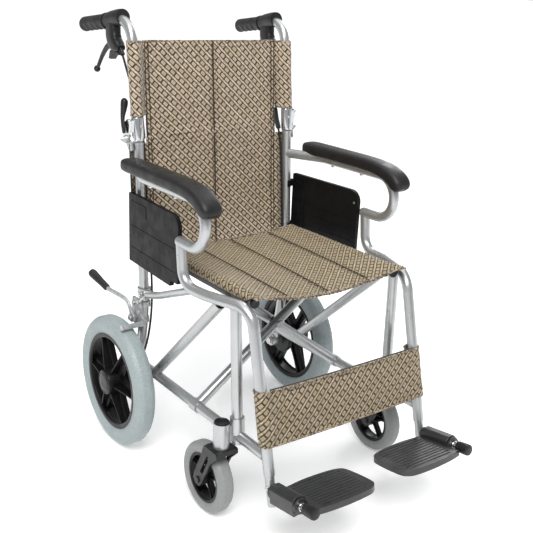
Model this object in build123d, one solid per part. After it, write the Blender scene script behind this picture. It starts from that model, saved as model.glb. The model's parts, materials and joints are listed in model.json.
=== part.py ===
"""Transport wheelchair with a cross-brace fold, a half-fold back and flip-up footplates.

Millimetres, +Z up, the chair faces -Y, its right-hand side (the occupant's) is -X.
Every length along Y is measured from the rear axle; write() then moves the whole chair by
AXLE_Y, so that the origin is on the floor under the middle of the chair's box.
The right-hand pieces are modelled and the left-hand ones are their mirror images.
"""

import os
from math import atan2, cos, degrees, radians, sin, tan

from build123d import *

# ---- driving dimensions ----
AXLE_Y = 209.36
FRAME_X = 201.0
TUBE = 22.0
WALL = 1.6
REAR_WHEEL_X = 257.6
REAR_WHEEL_R = 152.5
REAR_RIM_R = 113.3
REAR_TYRE_W = 46.4
CASTER_X = 231.5
CASTER_Y = -398.0
CASTER_TRAIL = 44.0
CASTER_R = 76.1
CASTER_RIM_R = 53.2
CASTER_TYRE_W = 34.7
RAIL_Z = 185.0
SEAT_RAIL_X = 181.0
SEAT_RAIL_Z = 467.0
SEAT_RAIL_D = 20.0
SEAT_REAR_Y = -62.0
SEAT_FRONT_Y = -423.0
BAR_A_Y = -258.0
BAR_B_Y = -234.0
POST_X = 243.0
ARM_Z = 648.0
HINGE_Y = 10.0
HINGE_Z = 711.0
EAR_T = 4.4
FIXED_EAR_X = -219.2
MOVING_EAR_X = -224.0
BACK_TOP_Z = 912.0
FOOT_TILT = 9.0
FOOT_AXIS_Y = -577.0
FOOT_AXIS_Z = 138.0
CABLE_D = 5.0
# A shaft turns in its hole with RUNNING on each side; other moving neighbours keep GAP.
RUNNING = 0.05
GAP = 0.4

# ---- the frame's centrelines, right-hand side ----
UPRIGHT = [(-FRAME_X, -3.5, 702), (-FRAME_X, -28, 345), (-FRAME_X, 0, REAR_WHEEL_R)]
CANE = [(-FRAME_X, -3.3, 703.6), (-FRAME_X, 26, 957), (-212, 226, 932.7)]
HANGER = [
    (-POST_X, -256, 551),
    (-POST_X, -266, 465),
    (-236, -335, 465),
    (-FRAME_X, -441, 465),
    (-FRAME_X, -518.5, 155),
]
ARM = [
    (-FRAME_X, -6, ARM_Z),
    (-POST_X, -100, ARM_Z),
    (-POST_X, -342, ARM_Z),
    (-POST_X, -342, ARM_Z - 96),
    (-POST_X, -252, ARM_Z - 96),
]
DIAGONAL = [(-FRAME_X, -77, RAIL_Z), (-222, -366, 455)]
FRONT_POST = [(-FRAME_X, -411, 171), (-207, -397, 462)]
LINK = [(-211, -62, 372), (-216, -124, 392), (-236, -298, 464)]
LEAN = degrees(atan2(24.5, 357))
CANE_LEAN = degrees(atan2(29.3, 253.4))


# ---- shapes that repeat ----
def bar(points, bends, diameter):
    """A solid round bar along straight runs that arcs of the given radii join."""
    path = FilletPolyline(*points, radius=bends) if bends else Line(*points)
    return sweep(Plane(path @ 0, z_dir=path % 0) * Circle(diameter / 2), path=path)


def tube(points, bends, diameter=TUBE, wall=WALL):
    return bar(points, bends, diameter) - bar(points, bends, diameter - 2 * wall)


def rod(start, end, radius):
    start, end = Vector(*start), Vector(*end)
    return Solid.make_cylinder(radius, (end - start).length, Plane(start, z_dir=end - start))


def ring(start, end, outer, inner):
    return rod(start, end, outer) - rod(start, end, inner)


def plate_x(points, x, thickness, corner=0):
    """A flat plate with the outline points (y, z), from x to x + thickness."""
    face = make_face(Polyline(*points, close=True))
    if corner:
        face = fillet(face.vertices(), corner)
    return extrude(Plane.YZ.offset(x) * face, thickness)


def cuboid(low, high):
    size = [b - a for a, b in zip(low, high)]
    return Pos(*[(a + b) / 2 for a, b in zip(low, high)]) * Box(*size)


def joined(*shapes):
    """Several separate solids that share one node."""
    return Compound(children=[s for shape in shapes for s in shape.solids()])


def between(a, b, share):
    return tuple(p + (q - p) * share for p, q in zip(a, b))


def along(points, z):
    """The point at height z on the straight line through two points."""
    return between(points[0], points[1], (z - points[0][2]) / (points[1][2] - points[0][2]))


def write(name, shape):
    os.makedirs("parts", exist_ok=True)
    export_step(Pos(0, AXLE_Y, 0) * shape, f"parts/{name}.step")


def write_pair(name, shape):
    write(f"right_{name}", shape)
    write(f"left_{name}", mirror(shape, about=Plane.YZ))


# ---- side frame ----
UPRIGHT_BAR = bar(UPRIGHT, [260], TUBE)
HANGER_BAR = bar(HANGER, [38, 110, 45], TUBE)
ARM_BAR = bar(ARM, [60, 47.5, 47.5], TUBE)
PAD_SCREW_Y = [-135, -235]


def rear_upright():
    """Back tube with its axle bushing and the fixed ear of the back's hinge."""
    shape = tube(UPRIGHT, [260])
    shape += rod((-217, 0, REAR_WHEEL_R), (-185, 0, REAR_WHEEL_R), 15)
    shape -= rod((-218, 0, REAR_WHEEL_R), (-184, 0, REAR_WHEEL_R), 6 + RUNNING)
    outline = [(-10, 668), (8, 668), (19, 696), (19, 716), (12, 720), (4, 716), (-4, 698)]
    shape += plate_x(outline, FIXED_EAR_X, EAR_T, 2)
    shape += cuboid((FIXED_EAR_X, -10, 670), (-209, 4, 694)) - rod(UPRIGHT[0], UPRIGHT[1], TUBE / 2 - WALL)
    return shape - rod((-230, HINGE_Y, HINGE_Z), (-210, HINGE_Y, HINGE_Z), 4 + RUNNING)


def base_frame():
    """Lower rail, diagonal, front post with its sleeve, foot strut and caster housing, welded."""
    rail = [(-FRAME_X, -6, RAIL_Z), (-FRAME_X, -404, RAIL_Z)]
    strut = [(-FRAME_X, -410, RAIL_Z + 4), (-FRAME_X, -504, RAIL_Z + 4)]
    runs = [rail, DIAGONAL, FRONT_POST, strut]
    shape = bar(runs[0], None, TUBE)
    for run in runs[1:]:
        shape += bar(run, None, TUBE)
    shape += rod(along(FRONT_POST, 194), along(FRONT_POST, 228), 14.5)
    shape += rod((-CASTER_X, CASTER_Y, 165.5), (-CASTER_X, CASTER_Y, 219.5), 16.5)
    shape += cuboid((-CASTER_X, -408, 176), (-FRAME_X, -400, 212))
    for run in runs:
        shape -= bar(run, None, TUBE - 2 * WALL)
    shape -= rod((-CASTER_X, CASTER_Y, 165), (-CASTER_X, CASTER_Y, 220), 14)
    return shape - UPRIGHT_BAR - HANGER_BAR


def hanger_tube():
    """Arm post, seat-level tube and front down tube in one bend, with the link to the upright."""
    shape = HANGER_BAR + bar(LINK, [60], 16)
    shape += plate_x([(-28, 358), (-36, 358), (-86, 372), (-86, 388), (-36, 378), (-28, 378)], -216, 7)
    shape += ring((-FRAME_X, -26.5, 358), (-FRAME_X, -26.5, 378), 15, 5)
    shape -= UPRIGHT_BAR
    shape -= bar(HANGER, [38, 110, 45], TUBE - 2 * WALL) + ARM_BAR
    return shape - Pos(*ARM[-1]) * Sphere(TUBE / 2)


def arm_tube():
    """Arm tube that loops down at its front and ends in a round cap."""
    shape = tube(ARM, [60, 47.5, 47.5]) - UPRIGHT_BAR
    shape += Pos(*ARM[-1]) * Sphere(TUBE / 2)
    for y in PAD_SCREW_Y:
        shape -= rod((-POST_X, y, ARM_Z - 20), (-POST_X, y, ARM_Z + 20), 2.6)
    return shape


def arm_pad():
    """Moulded pad that saddles the arm tube and droops over the front of its loop."""
    top = [(-262, 680), (-312, 676), (-350, 665), (-372, 647)]
    under = [(-352, 622), (-336, 637), (-300, 650), (-262, 651)]
    outline = [
        Line((-48, 680), top[0]),
        Spline(*top, tangents=((-1, 0), (-0.3, -1))),
        ThreePointArc(top[-1], (-370, 629), under[0]),
        Spline(*under, tangents=((0.6, 1), (1, 0))),
        Line(under[-1], (-48, 651)),
        ThreePointArc((-48, 651), (-34, 665.5), (-48, 680)),
    ]
    pad = extrude(Plane.YZ.offset(-POST_X - 24) * make_face(outline), 48)
    pad -= bar(ARM, [60, 47.5, 47.5], TUBE + 0.4)
    for y in PAD_SCREW_Y:
        pad -= rod((-POST_X, y, ARM_Z), (-POST_X, y, ARM_Z + 25), 2.6)
    return pad


def skirt_guard():
    """Clothes guard between the upright and the arm post, with two clamps on the upright."""
    length, height, thick = 228, 154, 9
    outline = [(0, 0), (length - 34, 0), (length - 30, 13), (length, 13), (length, height), (0, height)]
    face = make_face(Polyline(*outline, close=True))
    front_top = face.vertices().sort_by_distance(Vector(length, height, 0))[0]
    face = fillet(front_top, 26)
    panel = extrude(Plane.XY * face, thick)
    for level in (40, 78, 116):
        for side in (0, thick):
            panel -= Pos(length / 2, level, side) * Box(length - 44, 4, 3)
    stand = Plane((-221, -13, 444), x_dir=(-11, -229, 0), z_dir=(-229, 11, 0))
    shape = stand * panel
    for z in (470, 575):
        x, y, _ = along(UPRIGHT, z)
        shape += cuboid((-223, y - 9, z - 9), (-208, y + 5, z + 9))
    return shape - UPRIGHT_BAR


def hardware():
    """Screws, nuts, seat-rail cradles, caster bearings and caps that stay on the side frame."""
    pieces = []
    for y in PAD_SCREW_Y:
        head = rod((-POST_X, y, ARM_Z - 15), (-POST_X, y, ARM_Z - 11.2), 5)
        pieces.append(head + rod((-POST_X, y, ARM_Z - 12), (-POST_X, y, ARM_Z + 22), 2.5))
    for low in (165.5, 211.5):
        base, top = (-CASTER_X, CASTER_Y, low), (-CASTER_X, CASTER_Y, low + 8)
        pieces.append(ring(base, top, 14, 6 + RUNNING))
    cap = rod((-CASTER_X, CASTER_Y, 219.6), (-CASTER_X, CASTER_Y, 224), 16)
    cap = fillet(cap.edges().group_by(Axis.Z)[-1], 3)
    pieces.append(cap - rod(along(FRONT_POST, 190), along(FRONT_POST, 232), 14.6))
    for y in (-394, -350):
        block = cuboid((-232, y - 9, 452), (-169, y + 9, 466)) - HANGER_BAR
        block -= rod((-SEAT_RAIL_X, y - 10, SEAT_RAIL_Z), (-SEAT_RAIL_X, y + 10, SEAT_RAIL_Z), 10 + GAP)
        block -= bar(FRONT_POST, None, TUBE) + bar(DIAGONAL, None, TUBE)
        pieces.append(block.solids().sort_by(Axis.X)[-1])
    pin = rod((-232, HINGE_Y, HINGE_Z), (-214.5, HINGE_Y, HINGE_Z), 4)
    star = Circle(8.5)
    for turn in range(0, 360, 60):
        star += Rot(0, 0, turn) * Pos(8, 0) * Circle(3)
    knob = extrude(Plane((-231, HINGE_Y, HINGE_Z), x_dir=(0, 1, 0), z_dir=(-1, 0, 0)) * star, 8)
    pieces.append(pin + knob)
    pieces.append(rod((-221, -43, 369), (-216.05, -43, 369), 6))
    return joined(*pieces)


# ---- rear wheel and its brakes ----
def wheel_axle():
    """Fixed rear axle with its inboard nut."""
    nut = extrude(Plane((-178, 0, REAR_WHEEL_R), z_dir=(-1, 0, 0)) * RegularPolygon(10, 6), 6.9)
    return nut + rod((-180, 0, REAR_WHEEL_R), (-284, 0, REAR_WHEEL_R), 6)


def hub_brake():
    """Back plate of the attendant's hub brake and the arm that its cable pulls."""
    axis = REAR_WHEEL_R
    shape = rod((-228, 0, axis), (-217.1, 0, axis), 38)
    shape = fillet(shape.edges().group_by(Axis.X)[-1], 3)
    shape += plate_x([(-42, 186), (-10, 160), (-10, 176), (-36, 200)], -221, 6, 3)
    return shape - rod((-229, 0, axis), (-217, 0, axis), 6 + RUNNING)


def wheel_rim(outer, width, hub, bore, spokes, spoke_w, spoke_t):
    """Moulded rim about the X axis: hub gives its profile as (x, radius) points."""
    inner = outer - 0.11 * outer
    half = width / 2
    rim = [(-half, outer), (half, outer), (half, inner + 4), (half - 5, inner), (5 - half, inner), (-half, inner + 4)]
    shape = revolve(make_face(Polyline(*rim, close=True)), Axis.X)
    core = revolve(make_face(Polyline(*hub, close=True)), Axis.X)
    hub_r = max(r for _, r in hub)
    middle = (hub_r + inner) / 2
    waist = spoke_w * 0.36
    outline = [
        (hub_r - 4, spoke_w / 2), (middle, waist), (inner + 3, spoke_w / 2),
        (inner + 3, -spoke_w / 2), (middle, -waist), (hub_r - 4, -spoke_w / 2),
    ]
    spoke = extrude(make_face(Polyline(*outline, close=True)), spoke_t / 2, both=True)
    pocket = Pos(middle, 0, 0) * Box((inner - hub_r) * 0.62, waist, spoke_t)
    spoke -= Pos(0, 0, spoke_t * 0.7) * pocket + Pos(0, 0, -spoke_t * 0.7) * pocket
    for i in range(spokes):
        shape += Rot(360 / spokes * i + 90, 0, 0) * Rot(0, 90, 0) * spoke
    return shape + core - rod((-bore[0], 0, 0), (bore[0], 0, 0), bore[1])


def tyre(outer, inner, width, seat):
    """Solid tyre about the X axis with a rounded section."""
    half, bead = width / 2, seat / 2
    shoulder = outer - (outer - inner) * 0.1
    widest = inner + (outer - inner) * 0.5
    section = [
        ThreePointArc((-bead, inner), (-half, widest), (-0.6 * half, shoulder)),
        ThreePointArc((-0.6 * half, shoulder), (0, outer), (0.6 * half, shoulder)),
        ThreePointArc((0.6 * half, shoulder), (half, widest), (bead, inner)),
        Line((bead, inner), (-bead, inner)),
    ]
    return revolve(make_face(section), Axis.X)


def rear_rim():
    hub = [(24, 0), (24, 22), (16, 27), (-14, 27), (-26, 23), (-33, 21), (-34.4, 19), (-34.4, 0)]
    shape = wheel_rim(REAR_RIM_R, 36.6, hub, (27, 6 + RUNNING), 6, 25, 17)
    return Pos(-REAR_WHEEL_X, 0, REAR_WHEEL_R) * shape


def rear_tyre():
    shape = tyre(REAR_WHEEL_R, REAR_RIM_R, REAR_TYRE_W, 36.6)
    return Pos(-REAR_WHEEL_X, 0, REAR_WHEEL_R) * shape


# ---- caster ----
WHEEL_Y = CASTER_Y + CASTER_TRAIL


def caster_fork():
    """Fork with its stem and the wheel's axle bolt."""
    legs = [(-420, 165), (-374, 165), (-366, 140), (-341, 88), (-338, 74), (-346, 64), (-360, 63), (-369, 74)]
    legs += [(-398, 132), (-420, 154)]
    shape = cuboid((-CASTER_X - 26, -420, 154.8), (-CASTER_X + 26, -374, 165))
    shape = fillet(shape.edges().filter_by(Axis.Z), 9)
    for x in (-26, 20.8):
        leg = plate_x(legs, -CASTER_X + x, 5.2, 3)
        leg -= plate_x([(-396, 146), (-386, 146), (-362, 98), (-372, 98)], -CASTER_X + x, 5.2, 2)
        shape += leg
    shape += rod((-CASTER_X, CASTER_Y, 164), (-CASTER_X, CASTER_Y, 218.5), 6)
    axle = rod((-CASTER_X - 29, WHEEL_Y, CASTER_R), (-CASTER_X + 29, WHEEL_Y, CASTER_R), 4)
    for x in (-29, 26):
        axle += rod((-CASTER_X + x, WHEEL_Y, CASTER_R), (-CASTER_X + x + 3, WHEEL_Y, CASTER_R), 7)
    return joined(shape - rod((-300, WHEEL_Y, CASTER_R), (-150, WHEEL_Y, CASTER_R), 4), axle)


def caster_rim():
    hub = [(20, 0), (20, 11), (12, 15), (-12, 15), (-20, 11), (-20, 0)]
    shape = wheel_rim(CASTER_RIM_R, 27, hub, (21, 4 + RUNNING), 5, 15, 12)
    return Pos(-CASTER_X, WHEEL_Y, CASTER_R) * shape


def caster_tyre():
    shape = tyre(CASTER_R, CASTER_RIM_R, CASTER_TYRE_W, 27)
    return Pos(-CASTER_X, WHEEL_Y, CASTER_R) * shape


# ---- parking brake ----
LEVER_PIVOT = (-16, 306)
SHOE_PIVOT = (-34, 323)
SHOE_ROD = (-57, 304)


def parking_brake_bracket():
    """Plate clamped on the upright, with the pivots of the lever and the shoe."""
    shape = plate_x([(-50, 312), (-38, 288), (-6, 288), (4, 300), (0, 352), (-38, 352)], -216.4, 4, 4)
    for z in (300, 340):
        x, y, _ = along([UPRIGHT[1], UPRIGHT[2]], z)
        shape += ring((x, y, z - 6), (x, y, z + 6), 14, 5)
    shape -= UPRIGHT_BAR
    shape += rod((-230, *LEVER_PIVOT), (-215, *LEVER_PIVOT), 4)
    shape += rod((-232.5, *LEVER_PIVOT), (-230, *LEVER_PIVOT), 7)
    shape += rod((-221.5, *SHOE_PIVOT), (-215, *SHOE_PIVOT), 3)
    return shape


def parking_brake_lever():
    """Bent lever with its grip, turning on the bracket."""
    hub = ring((-228.6, *LEVER_PIVOT), (-222.6, *LEVER_PIVOT), 11, 4 + RUNNING)
    route = [(-225.6, -13, 314), (-230, 5, 345), (-239, 76, 353), (-249, 140, 376)]
    arm = bar(route, [14, 40], 9)
    arm -= rod((-240, *LEVER_PIVOT), (-210, *LEVER_PIVOT), 10.5)
    grip_start = between(route[2], route[3], 0.12)
    grip_end = (-250, 146, 378.2)
    grip = rod(grip_start, grip_end, 9)
    grip = fillet(grip.edges().filter_by(GeomType.CIRCLE), 4)
    return hub + arm + grip


def parking_brake_shoe():
    """Arm on the bracket with the cross rod that presses on the tyre."""
    hub = ring((-220.4, *SHOE_PIVOT), (-216.8, *SHOE_PIVOT), 8, 3 + RUNNING)
    (py, pz), (ry, rz) = SHOE_PIVOT, SHOE_ROD
    web = plate_x([(py - 8, pz + 1), (ry - 7, rz + 4), (ry + 2, rz - 7), (py + 2, pz - 8)], -220.4, 3.6)
    web -= rod((-230, py, pz), (-210, py, pz), 7.5)
    return hub + web + rod((-274, *SHOE_ROD), (-216.8, *SHOE_ROD), 6)


# ---- push handle ----
def on_cane(z, off_x=0, back=0):
    """A point at height z on the straight part of the cane, moved by off_x and back."""
    x, y, _ = along(CANE, z)
    return x + off_x, y + back, z


def push_cane():
    return tube(CANE, [50])


def hinge_sleeve():
    """Chromed sleeve on the cane's foot with the moving ear of the hinge and the lever's ears."""
    cane = bar(CANE, [50], TUBE)
    shape = rod(on_cane(704.2), on_cane(755), 13.2)
    outline = [(0, 706), (6, 702), (16, 702), (21, 712), (29, 722), (29, 736), (4, 752), (-8, 752)]
    shape += plate_x(outline, MOVING_EAR_X, EAR_T, 2) + cuboid((MOVING_EAR_X, -6, 724), (-209, 8, 750))
    shape -= cane
    return shape - rod((-230, HINGE_Y, HINGE_Z), (-205, HINGE_Y, HINGE_Z), 4 + RUNNING)


GRIP_AXIS = [between(CANE[1], CANE[2], 0.485), (-212.5, 234, 931.7)]


def push_grip():
    """Rubber grip with finger hollows along its underside."""
    start, end = GRIP_AXIS
    shape = rod(start, end, 15.5) + rod(start, between(start, end, 0.06), 18)
    for share in (0.2, 0.4, 0.6, 0.8):
        x, y, z = between(start, end, share)
        shape -= Pos(x, y, z - 23) * Rot(0, 90, 0) * Cylinder(10, 50)
    shape = fillet(shape.edges().filter_by(GeomType.CIRCLE).sort_by(Axis.Y)[-1], 6)
    return shape - bar(CANE, [50], TUBE)


def brake_handle_body():
    """Clamp and housing of the attendant's brake, on the bend of the cane."""
    outline = [(52, 886), (70, 886), (106, 868), (112, 868), (118, 896), (116, 928), (112, 958), (96, 966)]
    outline += [(80, 966), (64, 940), (52, 915)]
    body = plate_x(outline, -218, 26, 4)
    body -= cuboid((-212.5, 86, 860), (-199.5, 130, 912))
    body -= bar(CANE, [50], TUBE)
    pin = rod((-216, 100, 900), (-194, 100, 900), 3)
    return (body + pin).solids().sort_by(SortBy.VOLUME)[-1]


def brake_lever():
    """Curved lever with a ball end, turning on the housing's pin."""
    shape = rod((-210.5, 100, 900), (-201.5, 100, 900), 8)
    route = [(-206, 103, 898), (-206, 134, 890), (-206, 163, 864), (-206, 180, 841)]
    shape += bar(route, [40, 60], 9)
    shape += Pos(-206, 182, 838.4) * Sphere(7.5)
    return shape - rod((-216, 100, 900), (-194, 100, 900), 3 + RUNNING)


def back_release_lever():
    """Lever that frees the back's hinge, on the outer face of the sleeve's ear."""
    x = MOVING_EAR_X - GAP
    route = [(x - 4.2, 22, 729), (x - 4.2, 29, 754), (x + 0.5, 33, 788)]
    shape = rod((x - 8, 22, 729), (x, 22, 729), 7)
    shape += bar(route, [60], 8)
    return shape + Pos(x + 1, 33.3, 791) * Sphere(7)


# ---- footrest ----
def foot_place(y, side=0, up=0):
    """A point on the footrest's tilted frame: y along the chair, side from the pivot, up off it."""
    tilt = radians(FOOT_TILT)
    run = FOOT_AXIS_Y - y
    return -203 + side, y + up * sin(tilt), FOOT_AXIS_Z + run * tan(tilt) + up * cos(tilt)


FOOT_PIVOT = [foot_place(-519), foot_place(-644)]
FOOT_SLIDE = [(-FRAME_X, -506, 205), (-FRAME_X, -533.5, 95)]


def foot_tube():
    """Inner tube that slides in the down tube, with the footplate's pivot rod and its knob."""
    inner = tube(FOOT_SLIDE, None, 18.6, 1.5)
    pivot = rod(*FOOT_PIVOT, 6) - bar(FOOT_SLIDE, None, 18.6)
    knob = rod(foot_place(-623), foot_place(-646), 14) - rod(*FOOT_PIVOT, 6)
    knob = fillet(knob.edges().filter_by(GeomType.CIRCLE).sort_by(Axis.Y)[0], 4)
    return joined(inner, pivot, knob)


def footplate():
    """Ribbed plate moulded with the block that turns on the pivot rod.
    Its rear edge slants near the block, so that the plate clears the tubes when it is turned up."""
    near, far = -530, -652
    depth = (near - far) / cos(radians(FOOT_TILT))
    face = make_face(Polyline((17, -9), (80, 0), (167, 0), (167, -depth), (17, -depth), close=True))
    inner = face.vertices().sort_by(Axis.X)[-2:]
    plate = extrude(fillet(inner, 22), -13)
    pitch = (depth - 24) / 13
    for i in range(13):
        plate -= Pos(93, -12 - pitch * (i + 0.5), 0) * Box(122, 3, 2.4)
    block = Pos(0, -46.5, -1) * Box(30, 73, 38) + Pos(15.5, -46.5, -6.5) * Box(6, 73, 13)
    up = Vector(0, sin(radians(FOOT_TILT)), cos(radians(FOOT_TILT)))
    stand = Plane(foot_place(near), x_dir=(1, 0, 0), z_dir=up)
    return stand * (plate + block) - rod(*FOOT_PIVOT, 6 + RUNNING)


# ---- cross brace and seat ----
def cross_bar(y):
    """Brace from the right lower rail up to the left seat rail, in the plane at y."""
    low, high = (-FRAME_X, y, RAIL_Z), (SEAT_RAIL_X, y, SEAT_RAIL_Z)
    rail = [(SEAT_RAIL_X, SEAT_REAR_Y, SEAT_RAIL_Z), (SEAT_RAIL_X, SEAT_FRONT_Y, SEAT_RAIL_Z)]
    sleeve = rod((-FRAME_X, y - 11.4, RAIL_Z), (-FRAME_X, y + 11.4, RAIL_Z), 13.6)
    shape = bar([low, high], None, TUBE) + sleeve + bar(rail, None, SEAT_RAIL_D)
    shape -= bar([low, high], None, TUBE - 2 * WALL) + bar(rail, None, SEAT_RAIL_D - 3)
    shape += sleeve + ring(rail[0], rail[1], SEAT_RAIL_D / 2, SEAT_RAIL_D / 2 - 1.5)
    shape -= rod((-FRAME_X, y - 40, RAIL_Z), (-FRAME_X, y + 40, RAIL_Z), TUBE / 2 + 0.08)
    share = FRAME_X / (FRAME_X + SEAT_RAIL_X)
    pivot_z = RAIL_Z + (SEAT_RAIL_Z - RAIL_Z) * share
    return shape - rod((0, y - 30, pivot_z), (0, y + 30, pivot_z), 4 + RUNNING), pivot_z


def pivot_bolt(z):
    """Bolt, washer and nut through both braces."""
    front, rear = BAR_A_Y - TUBE / 2, BAR_B_Y + TUBE / 2
    shape = rod((0, front - 5, z), (0, rear + 7, z), 4)
    shape += rod((0, front - 5.3, z), (0, front - 0.3, z), 8)
    shape += rod((0, rear + 0.4, z), (0, rear + 6.4, z), 7.5)
    middle = (BAR_A_Y + BAR_B_Y) / 2
    return shape + rod((0, middle - 0.7, z), (0, middle + 0.7, z), 9)


def seat_half():
    """Right-hand half of the seat cloth, which hangs between the rails."""
    upper = [(-188, 483), (-168, 481.5), (-120, 474.5), (-60, 469), (-0.2, 467)]
    lower = [(-0.2, 461), (-60, 463), (-120, 468.5), (-160, 473), (-171, 477.2), (-188, 477.4)]
    face = make_face(Polyline(*upper, *lower, close=True))
    return extrude(Plane.XZ.offset(66) * face, 372)


def leaning_sheet(foot, lean, outline, offset):
    """Cloth 6 thick with the outline (x, up the slope), offset behind a tube's centreline."""
    slope = radians(lean)
    start = Vector(0, foot[1], foot[2]) + Vector(0, cos(slope), -sin(slope)) * offset
    up = Vector(0, sin(slope), cos(slope))
    plane = Plane(start, x_dir=(1, 0, 0), z_dir=Vector(1, 0, 0).cross(up))
    return extrude(plane * make_face(Polyline(*outline, close=True)), 3, both=True)


def rectangle(half_width, low, high):
    return [(-half_width, low), (half_width, low), (half_width, high), (-half_width, high)]


def back_lower():
    return leaning_sheet(along(UPRIGHT, 455), LEAN, rectangle(208, 0, 246), 14.6)


def back_upper():
    """Back cloth above the hinge, cut out beside the sleeves."""
    high = (BACK_TOP_Z - 718) / cos(radians(CANE_LEAN))
    outline = [(-172, 0), (172, 0), (172, 40), (216, 40), (216, high), (-216, high), (-216, 40), (-172, 40)]
    return leaning_sheet(along(CANE, 718), CANE_LEAN, outline, 14.6)


def calf_strap():
    lean = -degrees(atan2(HANGER[3][1] - HANGER[4][1], HANGER[3][2] - HANGER[4][2]))
    return leaning_sheet(along(HANGER[3:], 211), -lean, rectangle(214, 0, 104), -14.6)


# ---- brake cable ----
CABLE = [
    (-206, 59, 883), (-203, 48, 856), (-196, 38, 817), (-188, 31, 778), (-182.5, 19, 739), (-184, 4, 700),
    (-186, -5, 655), (-186.6, -10, 600), (-186, -17, 545), (-186.6, -21, 490), (-185.5, -29, 440),
    (-186, -36, 385), (-188, -39, 330), (-190, -33, 278), (-197, -31, 240), (-209, -36, 218), (-218, -38, 203.5),
]


def cable_bends():
    """Each bend is as large as its two runs allow."""
    points = [Vector(*p) for p in CABLE]
    radii = []
    for a, b, c in zip(points, points[1:], points[2:]):
        turn = radians((b - a).get_angle(c - b))
        radii.append(0.45 * min((b - a).length, (c - b).length) / tan(turn / 2))
    print("cable radii", [round(r) for r in radii])
    return radii


# ---- the assembly ----
for name, build in {
    "rear_upright": rear_upright,
    "base_frame": base_frame,
    "hanger_tube": hanger_tube,
    "arm_tube": arm_tube,
    "arm_pad": arm_pad,
    "skirt_guard": skirt_guard,
    "hardware": hardware,
    "wheel_axle": wheel_axle,
    "hub_brake": hub_brake,
    "rear_rim": rear_rim,
    "rear_tyre": rear_tyre,
    "caster_fork": caster_fork,
    "caster_rim": caster_rim,
    "caster_tyre": caster_tyre,
    "parking_brake_bracket": parking_brake_bracket,
    "parking_brake_lever": parking_brake_lever,
    "parking_brake_shoe": parking_brake_shoe,
    "push_cane": push_cane,
    "hinge_sleeve": hinge_sleeve,
    "push_grip": push_grip,
    "brake_handle_body": brake_handle_body,
    "brake_lever": brake_lever,
    "back_release_lever": back_release_lever,
    "foot_tube": foot_tube,
    "footplate": footplate,
}.items():
    write_pair(name, build())

write_pair("brake_cable", bar(CABLE, cable_bends(), CABLE_D))
brace_a, PIVOT_Z = cross_bar(BAR_A_Y)
brace_b, _ = cross_bar(BAR_B_Y)
write("cross_bar_a", brace_a)
write("cross_bar_b", mirror(brace_b, about=Plane.YZ))
write("cross_pivot_bolt", pivot_bolt(PIVOT_Z))
write_pair("seat_half", seat_half())
write("back_lower", back_lower())
write("back_upper", back_upper())
write("calf_strap", calf_strap())
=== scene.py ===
import json
import math
from functools import partial

import bmesh
import bpy
import numpy as np
from mathutils import Matrix, Vector, noise


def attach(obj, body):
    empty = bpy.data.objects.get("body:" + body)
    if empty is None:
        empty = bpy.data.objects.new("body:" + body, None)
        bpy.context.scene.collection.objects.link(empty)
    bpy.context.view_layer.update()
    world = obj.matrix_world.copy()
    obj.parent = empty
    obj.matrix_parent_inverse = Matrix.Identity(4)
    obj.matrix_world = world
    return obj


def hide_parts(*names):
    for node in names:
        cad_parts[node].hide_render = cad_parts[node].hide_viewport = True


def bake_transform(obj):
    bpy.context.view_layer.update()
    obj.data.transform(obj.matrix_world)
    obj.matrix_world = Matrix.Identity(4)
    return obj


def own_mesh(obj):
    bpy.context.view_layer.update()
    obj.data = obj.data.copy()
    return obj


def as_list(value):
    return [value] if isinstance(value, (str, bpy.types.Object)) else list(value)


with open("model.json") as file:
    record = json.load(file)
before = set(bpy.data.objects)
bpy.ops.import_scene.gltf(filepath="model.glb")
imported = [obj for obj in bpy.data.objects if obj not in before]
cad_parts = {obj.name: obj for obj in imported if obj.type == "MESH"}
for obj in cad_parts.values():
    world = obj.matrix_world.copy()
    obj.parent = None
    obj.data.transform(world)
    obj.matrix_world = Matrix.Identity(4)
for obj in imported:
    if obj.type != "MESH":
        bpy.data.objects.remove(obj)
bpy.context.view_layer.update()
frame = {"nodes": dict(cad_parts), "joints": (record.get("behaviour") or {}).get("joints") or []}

JOINTS = {joint["name"]: joint for joint in frame["joints"]}
AXLE_Y = JOINTS["right_rear_wheel_spin"]["pos_m"][1]
SIDES = {"right": 1, "left": -1}


def at(x, y, z):
    """A point given in millimetres from the rear axle's middle on the floor, in row-frame metres."""
    return Vector((x / 1000, y / 1000 + AXLE_Y, z / 1000))


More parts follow.
